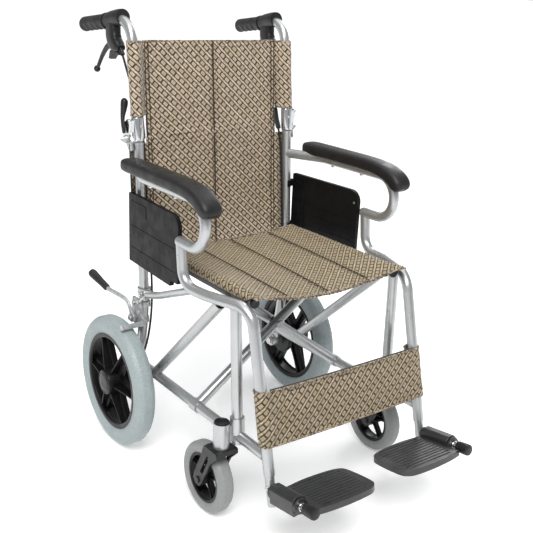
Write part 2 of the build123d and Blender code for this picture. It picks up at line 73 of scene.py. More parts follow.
# ---- materials ----
class Shader:
    """A material with short calls for its nodes."""

    def __init__(self, name, color, roughness, metallic=0.0, **settings):
        self.material = bpy.data.materials.new(name)
        self.material.use_nodes = True
        self.tree = self.material.node_tree
        self.bsdf = self.tree.nodes["Principled BSDF"]
        self.bsdf.inputs["Base Color"].default_value = (*color, 1)
        self.bsdf.inputs["Roughness"].default_value = roughness
        self.bsdf.inputs["Metallic"].default_value = metallic
        for key, value in settings.items():
            self.bsdf.inputs[key.replace("_", " ")].default_value = value

    def node(self, kind, inputs=None, **settings):
        made = self.tree.nodes.new("ShaderNode" + kind)
        for key, value in settings.items():
            setattr(made, key, value)
        for key, value in (inputs or {}).items():
            self.put(value, made.inputs[key])
        return made

    def put(self, value, socket):
        if isinstance(value, bpy.types.NodeSocket):
            self.tree.links.new(value, socket)
        else:
            socket.default_value = value

    def math(self, operation, *values):
        made = self.node("Math", operation=operation)
        for value, socket in zip(values, made.inputs):
            self.put(value, socket)
        return made.outputs[0]

    def mix(self, share, first, second, blend="MIX"):
        made = self.node("Mix", data_type="RGBA", blend_type=blend)
        self.put(share, made.inputs[0])
        for value, socket in ((first, made.inputs[6]), (second, made.inputs[7])):
            self.put((*value, 1) if isinstance(value, tuple) else value, socket)
        return made.outputs[2]

    def ramp(self, value, low, high, start=0.0, end=1.0):
        """Smooth step of value from low to high, mapped to start..end."""
        made = self.node("MapRange", interpolation_type="SMOOTHSTEP")
        for socket, number in zip(made.inputs, (value, low, high, start, end)):
            self.put(number, socket)
        return made.outputs[0]

    def place(self, kind="Object"):
        return self.node("TexCoord").outputs[kind]

    def noise(self, scale, detail=3.0, roughness=0.5):
        inputs = {"Vector": self.place(), "Scale": scale, "Detail": detail, "Roughness": roughness}
        return self.node("TexNoise", inputs).outputs[0]

    def patches(self, scale, detail, low, high, first, second):
        """Two colours in soft patches of noise."""
        return self.mix(self.ramp(self.noise(scale, detail), low, high), first, second)

    def color(self, value):
        self.put(value, self.bsdf.inputs["Base Color"])

    def roughness(self, value):
        self.put(value, self.bsdf.inputs["Roughness"])

    def bump(self, height, strength, distance):
        made = self.node("Bump", {"Height": height, "Strength": strength, "Distance": distance})
        self.tree.links.new(made.outputs[0], self.bsdf.inputs["Normal"])


def scaled(color, factor):
    return tuple(c * factor for c in color)


def frame_paint():
    s = Shader("silver_powder_coat", (0.42, 0.43, 0.43), 0.3, 0.8, Coat_Weight=0.1)
    s.color(s.patches(14, 4, 0.3, 0.7, (0.44, 0.45, 0.45), (0.48, 0.49, 0.49)))
    s.roughness(s.ramp(s.noise(60, 5), 0.3, 0.7, 0.27, 0.34))
    s.bump(s.noise(1600, 2), 0.12, 0.0004)
    return s.material


def chromed():
    s = Shader("bright_chrome", (0.68, 0.69, 0.70), 0.07, 1.0)
    s.roughness(s.ramp(s.noise(90, 6, 0.7), 0.35, 0.75, 0.05, 0.16))
    return s.material


def zinc():
    s = Shader("zinc_plate", (0.63, 0.63, 0.62), 0.3, 0.9)
    s.color(s.patches(120, 4, 0.3, 0.7, (0.5, 0.5, 0.49), (0.7, 0.7, 0.69)))
    s.bump(s.noise(900, 3), 0.15, 0.0003)
    return s.material


def bracket_paint():
    s = Shader("bracket_silver", (0.55, 0.56, 0.57), 0.38, 0.5)
    s.color(s.patches(70, 5, 0.35, 0.7, (0.32, 0.33, 0.33), (0.50, 0.51, 0.51)))
    s.bump(s.noise(1200, 2), 0.2, 0.0004)
    return s.material


def moulded(name, color, roughness, grain, depth, mottle=0.25, gloss=0.35):
    """Moulded plastic or rubber: fine grain, slight mottling and uneven gloss."""
    s = Shader(name, color, roughness, 0.0, Specular_IOR_Level=gloss)
    s.color(s.patches(25, 4, 0.3, 0.7, scaled(color, 1 - mottle), scaled(color, 1 + mottle)))
    s.roughness(s.ramp(s.noise(45, 5), 0.3, 0.7, roughness - 0.06, roughness + 0.08))
    s.bump(s.noise(grain, 2), 0.35, depth)
    return s.material


def tyre_rubber(name, color):
    """Pale solid tyre with dusty patches and fine mould lines."""
    s = Shader(name, color, 0.5)
    dust = s.ramp(s.noise(24, 6, 0.6), 0.35, 0.75, 0.0, 0.6)
    speck = s.ramp(s.noise(420, 3, 0.7), 0.36, 0.66)
    grained = s.mix(speck, scaled(color, 0.86), scaled(color, 1.1))
    s.color(s.mix(dust, grained, scaled(color, 0.84)))
    s.roughness(s.ramp(s.noise(80, 3), 0.3, 0.7, 0.42, 0.58))
    s.bump(s.noise(700, 4), 0.2, 0.0004)
    return s.material


ROW_PITCH, SQUARE_PITCH = 0.0159, 0.0150
ROW_SLANT = math.radians(41.5)


def lattice(name, slant, painted_shade=(1.0, 1.0, 1.0), fine=1.0):
    """Woven lattice: rows of beige squares between light stripes on a dark ground, laid out in UV metres. The
    last factor darkens the whole colour: painted shade for the seat's and the strap's copies of this cloth.
    """
    s = Shader(name, (0.4, 0.3, 0.2), 0.62, 0.0, Sheen_Weight=0.25, Sheen_Roughness=0.4)
    add, take, times = (partial(s.math, operation) for operation in ("ADD", "SUBTRACT", "MULTIPLY"))
    u, v, _ = s.node("SeparateXYZ", {"Vector": s.place("UV")}).outputs
    cos, sin = math.cos(slant), math.sin(slant)
    along = s.math("DIVIDE", add(times(u, cos), times(v, sin)), SQUARE_PITCH * fine)
    across = s.math("DIVIDE", take(times(v, cos), times(u, sin)), ROW_PITCH * fine)
    a, b = (s.math("ABSOLUTE", take(s.math("FRACT", run), 0.5)) for run in (along, across))
    corner = [s.math("MAXIMUM", take(run, flat), 0.0) for run, flat in ((a, 0.28), (b, 0.13))]
    reach = s.math("SQRT", add(*(s.math("POWER", run, 2.0) for run in corner)))
    square = s.ramp(reach, 0.125, 0.05)
    fray = s.ramp(s.noise(300, 2), 0.3, 0.7, -0.03, 0.03)
    stripe = s.ramp(add(b, fray), 0.35, 0.40)
    cell = s.node("CombineXYZ", {"X": s.math("FLOOR", along), "Y": s.math("FLOOR", across)}).outputs[0]
    tint = s.node("TexWhiteNoise", {"Vector": cell}, noise_dimensions="3D").outputs[0]
    beige = s.patches(26, 2, 0.42, 0.62, (0.47, 0.375, 0.265), (0.43, 0.375, 0.225))
    beige = s.mix(s.ramp(tint, 0.0, 1.0, 0.0, 0.6), beige, (0.60, 0.50, 0.385))
    mark = s.ramp(s.math("ABSOLUTE", take(add(a, b), 0.13)), 0.07, 0.0, 0.0, 0.4)
    beige = s.mix(mark, beige, (0.20, 0.14, 0.09))
    ground = s.patches(40, 3, 0.35, 0.65, (0.030, 0.018, 0.010), (0.065, 0.042, 0.026))
    light = s.patches(180, 2, 0.35, 0.65, (0.42, 0.335, 0.235), (0.68, 0.57, 0.44))
    woven = s.mix(stripe, s.mix(square, ground, beige), light)
    wave = {"Vector": s.place("UV"), "Scale": 420.0, "Distortion": 0.4}
    threads = times(add(*(s.node("TexWave", wave, bands_direction=way).outputs[1] for way in "XY")), 0.5)
    woven = s.mix(s.ramp(threads, 0.2, 0.8, 0.0, 0.35), woven, (0.30, 0.22, 0.15), "MULTIPLY")
    # painted shade: the colour is multiplied down for the seat's and the strap's copies of this cloth
    s.color(s.mix(1.0, woven, painted_shade, "MULTIPLY"))
    height = add(times(square, 0.8), stripe)
    s.bump(add(height, times(threads, 0.35)), 0.5, 0.0009)
    return s.material


def lining_cloth():
    """Black nylon lining and binding tape with a fine rib."""
    s = Shader("black_lining", (0.02, 0.019, 0.018), 0.75, 0.0, Sheen_Weight=0.3)
    rib = s.node("TexWave", {"Vector": s.place(), "Scale": 500.0, "Distortion": 1.0})
    s.color(s.patches(60, 4, 0.3, 0.7, (0.019, 0.0178, 0.0165), (0.024, 0.0225, 0.021)))
    s.bump(rib.outputs[1], 0.4, 0.0005)
    return s.material


def hem_cloth():
    """Rolled edge of the lattice cloth, where its pattern breaks up."""
    s = Shader("hem_cloth", (0.2, 0.15, 0.1), 0.7, 0.0, Sheen_Weight=0.2)
    patch = s.ramp(s.noise(230, 2, 0.6), 0.42, 0.58)
    s.color(s.mix(patch, (0.05, 0.034, 0.022), (0.38, 0.30, 0.215)))
    s.bump(s.noise(500, 3), 0.5, 0.0006)
    return s.material


SILVER, CHROME, ZINC, BRACKET = frame_paint(), chromed(), zinc(), bracket_paint()
BLACK = moulded("black_plastic", (0.011, 0.011, 0.0115), 0.38, 1500, 0.0003)
PAD = moulded("pad_skin", (0.012, 0.0115, 0.0115), 0.44, 900, 0.0005)
RIM = moulded("rim_nylon", (0.0055, 0.0052, 0.0055), 0.34, 1200, 0.0003, gloss=0.22)
GUARD = moulded("guard_plastic", (0.0055, 0.0055, 0.006), 0.5, 1300, 0.0003, gloss=0.17)
PLATE = moulded("footplate_plastic", (0.019, 0.019, 0.0195), 0.33, 1300, 0.0003, gloss=0.6)
GRIP = moulded("grip_rubber", (0.016, 0.016, 0.0165), 0.5, 1100, 0.0004)
CABLE = moulded("cable_vinyl", (0.012, 0.012, 0.012), 0.4, 1500, 0.0002)
TYRE = tyre_rubber("pale_tyre", (0.3, 0.345, 0.35))
CASTER_TYRE = tyre_rubber("grey_caster_tyre", (0.235, 0.24, 0.24))
CLOTH = lattice("lattice_cloth", -ROW_SLANT)
# The seat's and the strap's copies of the cloth are made darker by painted shade.
SEAT_CLOTH = lattice("lattice_seat_cloth", -ROW_SLANT, (0.84, 0.82, 0.69), 0.88)
STRAP_CLOTH = lattice("lattice_strap_cloth", ROW_SLANT, (0.74, 0.73, 0.65), 0.92)
LINING = lining_cloth()
HEM = hem_cloth()
THREAD = moulded("sewing_thread", (0.045, 0.03, 0.018), 0.7, 2500, 0.0001)

CAD_FINISH = {kind: material for material, kinds in (
    (SILVER, "rear_upright base_frame hanger_tube arm_tube push_cane foot_tube cross_bar_a cross_bar_b"),
    (ZINC, "hardware wheel_axle cross_pivot_bolt"),
    (BRACKET, "parking_brake_bracket parking_brake_lever parking_brake_shoe"),
    (BLACK, "hub_brake caster_fork brake_handle_body brake_lever back_release_lever"),
    (CHROME, "hinge_sleeve"), (GUARD, "skirt_guard"), (PLATE, "footplate"), (PAD, "arm_pad"),
    (RIM, "rear_rim caster_rim"), (TYRE, "rear_tyre"), (CASTER_TYRE, "caster_tyre"), (GRIP, "push_grip"),
    (CABLE, "brake_cable"), (SEAT_CLOTH, "seat_half"), (CLOTH, "back_lower back_upper"),
    (STRAP_CLOTH, "calf_strap")) for kind in kinds.split()}
for name, node in frame["nodes"].items():
    kind = name.removeprefix("right_").removeprefix("left_")
    node.data.materials.clear()
    node.data.materials.append(CAD_FINISH[kind])


# ---- mesh making; points are millimetres from the rear axle until shaped() ----
def smooth_run(rows, steps):
    """Catmull-Rom samples through rows of numbers, each a point and whatever sizes go with it."""
    rows = np.array(rows, float)
    padded = np.vstack([2 * rows[0] - rows[1], rows, 2 * rows[-1] - rows[-2]])
    out = []
    for i in range(len(rows) - 1):
        p0, p1, p2, p3 = padded[i:i + 4]
        for t in np.linspace(0, 1, steps, endpoint=False):
            out.append(0.5 * (2 * p1 + (p2 - p0) * t + (2 * p0 - 5 * p1 + 4 * p2 - p3) * t ** 2
                              + (3 * p1 - p0 - 3 * p2 + p3) * t ** 3))
    return np.array(out + [rows[-1]])


def run_at(x, rows, steps):
    """Smooth run through rows of (y, z, half width, half height) at one x."""
    return smooth_run([(x, *row) for row in rows], steps)


def round_run(rows, steps):
    """Smooth run through rows of (x, y, z, radius)."""
    return smooth_run([(*row, row[-1]) for row in rows], steps)


def turns(count):
    """The angles of a full turn in count steps."""
    return [2 * math.pi * k / count for k in range(count)]


def circle(radius, count, a=0.0, b=0.0):
    return [(a + radius * math.cos(t), b + radius * math.sin(t)) for t in turns(count)]


def arc(a, b, radius, start, end, count):
    """Points (a, b) round a centre, from the angle start to the angle end."""
    return [(a + radius * math.cos(t), b + radius * math.sin(t)) for t in np.linspace(start, end, count)]


def box(a0, b0, a1, b1):
    return [(a0, b0), (a1, b0), (a1, b1), (a0, b1)]


def skin(rows, wrap=False, caps=False):
    """Quads between successive rows of points, closed round each row and over the ends if asked."""
    count = len(rows[0])
    faces = []
    for i in range(len(rows) - 1):
        for j in range(count if wrap else count - 1):
            k = (j + 1) % count
            faces.append((i * count + j, i * count + k, (i + 1) * count + k, (i + 1) * count + j))
    if caps:
        faces.append(tuple(range(count))[::-1])
        faces.append(tuple((len(rows) - 1) * count + j for j in range(count)))
    return [p for row in rows for p in row], faces


def swept(path, side=(1, 0, 0), sides=20, power=2.0):
    """Closed skin of rings across a path of rows (x, y, z, half width, half height).
    The width lies along side, and power over 2 squares the ring's corners."""
    path = np.array(path, float)
    ahead = np.gradient(path[:, :3], axis=0)
    rings = []
    for row, way in zip(path, ahead):
        way = Vector(way).normalized()
        across = (Vector(side) - way * way.dot(Vector(side))).normalized()
        up = way.cross(across)
        ring = []
        for turn in turns(sides):
            c, s = math.cos(turn), math.sin(turn)
            wide = math.copysign(abs(c) ** (2 / power), c) * row[3]
            tall = math.copysign(abs(s) ** (2 / power), s) * row[4]
            ring.append(Vector(row[:3]) + across * wide + up * tall)
        rings.append(ring)
    return skin(rings, wrap=True, caps=True)


def revolved(centre, profile, steps=96, axis="X", wobble=None):
    """Closed skin of a closed profile of (along, radius) points turned about an axis through centre."""
    rows = []
    for i, turn in enumerate(turns(steps)):
        row = []
        for j, (along, radius) in enumerate(profile):
            r = radius + (wobble(i, j) if wobble else 0)
            c, s = r * math.cos(turn), r * math.sin(turn)
            offset = {"X": (along, s, c), "Y": (c, along, s), "Z": (c, s, along)}[axis]
            row.append(Vector(centre) + Vector(offset))
        rows.append(row)
    points, faces = skin(rows, wrap=True)
    count = len(profile)
    last = (steps - 1) * count
    faces += [(last + j, last + (j + 1) % count, (j + 1) % count, j) for j in range(count)]
    return points, faces


def prism(outline, low, high, corner):
    """Extrusion of a closed outline (a, b) from c low to c high, with corner(a, b, c) giving the points."""
    count = len(outline)
    points = [corner(a, b, c) for c in (low, high) for a, b in outline]
    faces = [tuple(range(count))[::-1], tuple(range(count, 2 * count))]
    faces += [(j, (j + 1) % count, count + (j + 1) % count, count + j) for j in range(count)]
    return points, faces


def side_on(a, b, c):
    """Corner of a prism whose outline is seen from the side, as (y, z)."""
    return Vector((c, a, b))


def end_on(a, b, c):
    """Corner of a prism whose outline is seen from the front, as (x, z)."""
    return Vector((a, c, b))


def flat_on(a, b, c):
    """Corner of a prism whose outline is seen from above, as (x, y)."""
    return Vector((a, b, c))


def rounded(outline, radii, steps=6):
    """A closed outline with each corner rounded by its own radius."""
    out = []
    count = len(outline)
    for i, radius in enumerate(radii):
        before, point, after = (np.array(outline[(i + k) % count], float) for k in (-1, 0, 1))
        one, two = before - point, after - point
        one, two = one / np.linalg.norm(one), two / np.linalg.norm(two)
        half = math.acos(max(-1, min(1, float(one @ two)))) / 2
        back = radius / math.tan(half)
        centre = point + (one + two) / np.linalg.norm(one + two) * radius / math.sin(half)
        start, end = point + one * back - centre, point + two * back - centre
        for t in np.linspace(0, 1, steps):
            arm = start * (1 - t) + end * t
            out.append(tuple(centre + arm / np.linalg.norm(arm) * radius))
    return out


def joined(*parts):
    points, faces = [], []
    for more, its in parts:
        faces += [tuple(i + len(points) for i in face) for face in its]
        points += list(more)
    return points, faces


def linked(name, data):
    """A new object of the data, put in the scene."""
    obj = bpy.data.objects.new(name, data)
    bpy.context.scene.collection.objects.link(obj)
    return obj


def shaped(name, geometry, materials, flip=False, uvs=None):
    """The Blender object of a geometry; flip mirrors it to the chair's left side."""
    points, faces = geometry
    sign = -1 if flip else 1
    mesh = bpy.data.meshes.new(name)
    mesh.from_pydata([at(sign * p[0], p[1], p[2]) for p in points], [],
                     [face[::-1] if flip else face for face in faces])
    if uvs is not None:
        layer = mesh.uv_layers.new(name="UVMap")
        for loop in mesh.loops:
            layer.data[loop.index].uv = uvs[loop.vertex_index]
    obj = linked(name, mesh)
    for material in materials if isinstance(materials, (list, tuple)) else [materials]:
        mesh.materials.append(material)
    tidy = bmesh.new()
    tidy.from_mesh(mesh)
    if uvs is None:
        bmesh.ops.recalc_face_normals(tidy, faces=tidy.faces)
    for face in tidy.faces:
        face.smooth = True
    tidy.to_mesh(mesh)
    tidy.free()
    return obj


def modified(obj, kind, **settings):
    made = obj.modifiers.new(kind.lower(), kind)
    for key, value in settings.items():
        setattr(made, key, value)
    return obj


def settled(obj):
    """Applies the object's modifiers, so that its mesh is final."""
    graph = bpy.context.evaluated_depsgraph_get()
    final = bpy.data.meshes.new_from_object(obj.evaluated_get(graph), depsgraph=graph)
    obj.modifiers.clear()
    obj.data = final
    return obj


def crisp(obj, angle=40):
    """Smooth shading that stays sharp at corners over the angle."""
    obj.data.set_sharp_from_angle(angle=math.radians(angle))
    return obj


def bevelled(obj, width, segments=3, angle=35):
    modified(obj, "BEVEL", width=width / 1000, segments=segments, limit_method="ANGLE",
             angle_limit=math.radians(angle), harden_normals=False)
    return crisp(obj, 50)


def cut(obj, geometry):
    """Takes a closed shape out of the object's mesh."""
    tool = shaped(obj.name + "_tool", geometry, [])
    modified(obj, "BOOLEAN", operation="DIFFERENCE", object=tool, solver="EXACT")
    settled(obj)
    bpy.data.objects.remove(tool)
    return obj


def mirrored(obj):
    obj.data.transform(Matrix.Scale(-1, 4, (1, 0, 0)))
    obj.data.flip_normals()


def riding(obj, body, slot, *nodes):
    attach(obj, body)
    if nodes:
        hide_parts(*nodes)
    return obj


def piece(side, name, geometry, material, body, slot, *nodes, sharp=None, bevel=None):
    """A piece of one side, drawn for the right one. Its body and the nodes it replaces are that side's too.
    Corners over the angle sharp stay sharp, and bevel is what bevelled() takes."""
    obj = shaped(f"{side}_{name}", geometry, material, SIDES[side] < 0)
    if bevel:
        bevelled(obj, *bevel)
    elif sharp:
        crisp(obj, sharp)
    return riding(obj, f"{side}_{body}", slot, *(f"{side}_{node}" for node in nodes))


# ---- wheels ----
REAR_HUB = (-257.6, 0, 152.5)
CASTER_HUB = (-231.5, -354, 76.1)


def tyre_profile(bead, widest, height, crown, bead_r, points=26):
    """Section of a solid tyre: a squared oval that narrows to its bead."""
    section = []
    reach = math.pi / 2 + 0.62
    for i in range(points):
        turn = -reach + 2 * reach * i / (points - 1)
        s, c = math.sin(turn), math.cos(turn)
        x = math.copysign(abs(s) ** 0.82, s) * widest
        r = crown - height + math.copysign(abs(c) ** 0.82, c) * height
        section.append((x, r))
    return section + [(bead, bead_r), (-bead, bead_r)]


def rear_tyre(side):
    profile = tyre_profile(18.3, 23.2, 21.5, 152.5, 113.3)
    grooves = {9: 1.3, 12: 0.9, 13: 0.9, 16: 1.3}

    def tread(i, j):
        if j in grooves:
            return -grooves[j]
        if j in (5, 6, 7, 8, 17, 18, 19, 20) and i % 6 in (0, 1):
            return -1.0
        if j in (10, 11, 14, 15) and i % 6 in (3, 4):
            return -0.7
        return 0
    piece(side, "rear_tyre_treaded", revolved(REAR_HUB, profile, 540, wobble=tread), TYRE,
          "rear_wheel", "grey_tyre", "rear_tyre")


def caster_tyre(side):
    profile = tyre_profile(13.5, 17.3, 12.5, 76.1, 53.2, 22)
    ribs = {7: 0.7, 10: 0.6, 11: 0.6, 14: 0.7}
    skin_of_tyre = revolved(CASTER_HUB, profile, 180, wobble=lambda i, j: -ribs.get(j, 0))
    piece(side, "caster_tyre_ribbed", skin_of_tyre, CASTER_TYRE, "caster_wheel", "caster_tyre", "caster_tyre")


def spoke(centre, turn, inner, outer, widths, depth, rib, fin=None):
    """One moulded spoke: a waisted web across the wheel and a thin fin along the axle's direction."""
    across, along = Vector((0, math.cos(turn), -math.sin(turn))), Vector((0, math.sin(turn), math.cos(turn)))
    middle = (inner + outer) / 2
    run = smooth_run([(inner, widths[0]), (middle, widths[1]), (outer, widths[2])], 8)
    outline = [(w / 2, r) for r, w in run] + [(-w / 2, r) for r, w in run[::-1]]
    reach = depth / 2 + 4
    fin = fin or [(reach, inner), (reach, outer), (-reach, outer), (-reach, inner)]
    web = prism(outline, -depth / 2, depth / 2,
                lambda a, b, c: Vector(centre) + across * a + along * b + Vector((c, 0, 0)))
    blade = prism(fin, -rib / 2, rib / 2,
                  lambda a, b, c: Vector(centre) - across * c + along * b + Vector((a, 0, 0)))
    return joined(web, blade)


def rear_rim(side):
    channel = [(-18.3, 113.2), (18.3, 113.2), (18.3, 105), (15.5, 101.2), (12.5, 101.2), (9, 104),
               (-9, 104), (-12.5, 101.2), (-15.5, 101.2), (-18.3, 105)]
    hub = [(24, 6.1), (24, 21), (20, 25), (8, 28), (-12, 29.5), (-30, 29), (-32.6, 28.2), (-34.2, 25.5),
           (-33.2, 23), (-33.4, 6.1)]
    fin = [(12, 24), (13, 104), (-15, 104), (-26, 24)]
    spokes = [spoke(REAR_HUB, math.radians(60 * i + 28), 24, 105, (28, 22, 30), 14, 3.2, fin)
              for i in range(6)]
    wheel = joined(revolved(REAR_HUB, channel, 120), revolved(REAR_HUB, hub, 72), *spokes)
    piece(side, "rear_rim_moulded", wheel, RIM, "rear_wheel", "rim_plastic", "rear_rim", bevel=(1.1, 2))
    cap = [(-34.4, 0.01), (-34.9, 12), (-34.3, 21.5), (-33.2, 22.8), (-32, 22.8), (-32, 0.01)]
    piece(side, "hub_cap", revolved(REAR_HUB, cap, 64), BLACK, "rear_wheel", "rim_plastic", sharp=40)


def caster_rim(side):
    channel = [(-13.5, 53.1), (13.5, 53.1), (13.5, 48.5), (11, 46), (7, 47.5), (-7, 47.5), (-11, 46),
               (-13.5, 48.5)]
    hub = [(20, 4.1), (20, 10), (14, 14), (-14, 14), (-20, 10), (-20, 4.1)]
    spokes = [spoke(CASTER_HUB, math.radians(72 * i), 11, 48, (15, 10, 14), 8, 2.4) for i in range(5)]
    wheel = joined(revolved(CASTER_HUB, channel, 80), revolved(CASTER_HUB, hub, 48), *spokes)
    piece(side, "caster_rim_moulded", wheel, RIM, "caster_wheel", "rim_plastic", "caster_rim",
          bevel=(0.8, 2))


# ---- arm pad and clothes guard ----
def arm_pad(side):
    """Moulded pad, straight over the arm and drooping over the front of its loop."""
    run = run_at(-243, [
        (-35, 665.5, 12, 7), (-39, 665.5, 19, 11.5), (-50, 665.5, 23, 14.2), (-90, 665.7, 24, 14.6),
        (-170, 665.7, 24, 14.6), (-250, 665.3, 24, 14.6), (-296, 662.5, 24, 14.6), (-326, 656, 24, 15.2),
        (-345, 647, 23.8, 16), (-357, 637, 22.5, 15.5), (-363, 629.5, 18, 11), (-365, 626.5, 11, 6),
    ], 7)
    pad = piece(side, "arm_pad_moulded", swept(run, sides=36, power=3.4), PAD, "frame", "pad", "arm_pad",
                sharp=60)


GUARD_FOOT = Vector((-221, -13, 444))
GUARD_AHEAD = Vector((-11, -229, 0)).normalized()
GUARD_OUT = Vector((-229, 11, 0)).normalized()
TUBE_X = -201       # the plane of the uprights, the canes and the down tubes


def on_guard(a, b, c):
    return GUARD_FOOT + GUARD_AHEAD * a + Vector((0, 0, b)) + GUARD_OUT * c


def skirt_guard(side):
    """Clothes guard with long grooves, an angled groove near its top and clips on the upright."""
    outline = rounded([(0, 0), (194, 0), (198, 13), (228, 13), (228, 154), (0, 154)],
                      [3, 2, 2, 4, 26, 4])
    panel = shaped(f"{side}_skirt_guard_panel", prism(outline, 0, 9, on_guard), GUARD)
    grooves = [(12, 34, 214, 36.4), (12, 83, 214, 85.4), (14, 138, 88, 140.4), (83, 112, 87.5, 140)]
    for low, high in ((8.1, 12), (-3, 0.9)):
        for groove in grooves:
            cut(panel, prism(box(*groove), low, high, on_guard))
    if side == "left":
        mirrored(panel)
    bevelled(panel, 0.9, 2, 30)
    riding(panel, f"{side}_frame", "black_plastic", f"{side}_skirt_guard")
    open_from, open_to = math.radians(70), math.radians(290)
    clips = []
    for z, y in ((470, -19.4), (575, -12.2)):
        band = arc(TUBE_X, y, 11.05, open_from, open_to, 24) + arc(TUBE_X, y, 13.6, open_to, open_from, 24)
        clips += [prism(band, z - 8, z + 8, flat_on),
                  prism(box(y - 7, z - 8, y + 5, z + 8), -222, -211, side_on)]
    clips += [prism(box(14, b - 5, 34, b + 5), -2.6, 0.4, on_guard) for b in (22, 60, 98, 132)]
    clips += [prism(box(44, 12, 46.4, 146), -1.8, 0.4, on_guard),
              prism(box(12, 58, 200, 60), -1.4, 0.4, on_guard)]
    piece(side, "guard_clips", joined(*clips), GUARD, "frame", "black_plastic", bevel=(0.7, 2))
    screws = [prism(circle(2.4, 16, a, b), -2.0, 0.4, on_guard) for a, b in ((217, 126), (24, 22), (24, 98))]
    piece(side, "guard_screws", joined(*screws), ZINC, "frame", "fastener", sharp=40)


# ---- push handle ----
GRIP_START, GRIP_END = Vector((-206.34, 123, 945.2)), Vector((-212.3, 230.2, 932.2))
LEVER_X = -206      # the plane of the brake lever and its body


def push_grip(side):
    """Rubber grip: a collar, four finger hollows below and a rounded end."""
    way = GRIP_END - GRIP_START
    along = way.normalized()
    across = Vector((1, 0, 0))
    up = along.cross(across).normalized()
    collar, barrel = 18, 16.3
    rings = []
    for t in np.linspace(0, 1, 60):
        radius = collar if t < 0.07 else barrel
        if t > 0.93:
            radius = barrel * math.sqrt(max(0.05, 1 - ((t - 0.93) / 0.0735) ** 2))
        hollow = 4.6 * abs(math.sin(math.pi * (t - 0.1) / 0.2)) ** 1.4 if 0.1 < t < 0.9 else 0
        ring = []
        for turn in turns(40):
            below = max(0, -math.sin(turn) * math.copysign(1, up.z)) ** 0.8
            r = radius - hollow * below
            ring.append(GRIP_START + way * t + across * (r * math.cos(turn)) + up * (r * math.sin(turn)))
        rings.append(ring)
    piece(side, "push_grip_fingered", skin(rings, wrap=True, caps=True), GRIP, "back", "grip_rubber",
          "push_grip", sharp=45)


def handle_lever(side):
    """Brake lever: a broad root that narrows in a long curve to its ball end."""
    run = run_at(LEVER_X, [
        (98, 903, 4.4, 6), (112, 897, 4.4, 7.5), (130, 890, 4.3, 6.4), (149, 875, 4.1, 5.2),
        (163, 860, 3.9, 4.4), (174, 847, 3.8, 3.9), (180, 840.5, 3.8, 3.8)], 8)
    ball = [(a, max(0.02, r)) for a, r in arc(0, 0, 7.5, math.pi, 0, 18)]
    lever = joined(swept(run, sides=24, power=2.6), revolved((LEVER_X, 182, 838.4), ball, 28))
    piece(side, "brake_lever_curved", lever, BLACK, "handle_lever", "black_plastic", "brake_lever", sharp=50)


def handle_body(side):
    """Moulded hood over the bend of the cane, the catch below, the clamp ring and the cable's barrel."""
    hood = swept(run_at(LEVER_X, [
        (62, 893, 9, 6), (74, 896, 12.4, 13), (90, 903, 13, 19), (99, 918, 13.2, 20.5), (99, 936, 13.4, 18),
        (98, 950, 13.2, 13), (98, 959, 9, 7)], 6), sides=32, power=2.8)
    catch = prism(rounded([(64, 884), (104, 886), (110, 868), (101, 867), (86, 880), (62, 878)],
                          [3, 3, 1, 1, 4, 2]), -213, -199, side_on)
    clamp = swept(round_run([(-202.5, 60, 957, 17), (-203.2, 72, 955.6, 17.6), (-204.2, 88, 953.4, 17.2),
                             (-205.2, 104, 950.6, 16.8), (-206.2, 121, 946, 16.2)], 5), sides=36)
    barrel = swept(run_at(LEVER_X, [(56, 880, 5, 5), (66, 891, 5.5, 5.5), (78, 900, 5.5, 5.5)], 4))
    into = (BLACK, "back", "black_plastic")
    piece(side, "brake_hood", hood, *into, "brake_handle_body", sharp=50)
    piece(side, "brake_catch", catch, *into, bevel=(0.8, 2))
    piece(side, "brake_clamp", clamp, *into, sharp=50)
    piece(side, "brake_barrel", barrel, *into, sharp=50)


def release_lever(side):
    """Paddle that frees the back's hinge, thick at its top."""
    run = smooth_run([
        (-228.8, 9, 721, 3.0, 4.4), (-228.8, 10.5, 728, 3.4, 5.8), (-228.4, 15, 741, 3.6, 5.4),
        (-226, 20, 755, 4.4, 5.6), (-221.5, 24.4, 769, 6.2, 7.4), (-218.5, 27, 781, 7.4, 8.4),
        (-217.8, 28, 788, 6.6, 7.2), (-217.6, 28.2, 792.6, 2.6, 3),
    ], 7)
    piece(side, "release_paddle", swept(run, sides=24, power=2.3), BLACK, "release_lever", "black_plastic",
          "back_release_lever", sharp=55)


# ---- parking brake ----
def parking_lever(side):
    """Silver lever in two bends with a black grip that thickens to its end."""
    run = smooth_run([
        (-225.6, -14, 311, 3, 7.5), (-226.5, -7, 326, 3.2, 6.4), (-229, 4, 341, 3.6, 5.2),
        (-233, 28, 346, 4.4, 5.0), (-239, 70, 348, 4.6, 5.0), (-242, 88, 352.5, 4.6, 4.8),
    ], 7)
    pivot = revolved((-225.6, -16, 306), [(-3, 4.1), (3, 4.1), (3, 10.6), (-3, 10.6)], 40)
    piece(side, "parking_arm", joined(swept(run, sides=20, power=2.4), pivot), BRACKET, "parking_lever",
          "bracket_steel", "parking_brake_lever", sharp=45)
    grip = round_run([
        (-240, 78, 349.2, 7), (-241, 82, 350.6, 8), (-243.5, 99, 356.4, 8.4), (-246.5, 118, 363, 9.4),
        (-249, 134, 368.8, 10.2), (-250, 141, 371.4, 8.8), (-250.4, 144.4, 372.6, 4)], 7)
    piece(side, "parking_grip", swept(grip, sides=28), GRIP, "parking_lever", "grip_rubber", sharp=50)


def bolt_head(centre, radius, height):
    """Hexagon bolt head, standing out towards -X."""
    return prism(circle(radius, 6), 0, -height, lambda a, b, c: Vector(centre) + side_on(a, b, c))


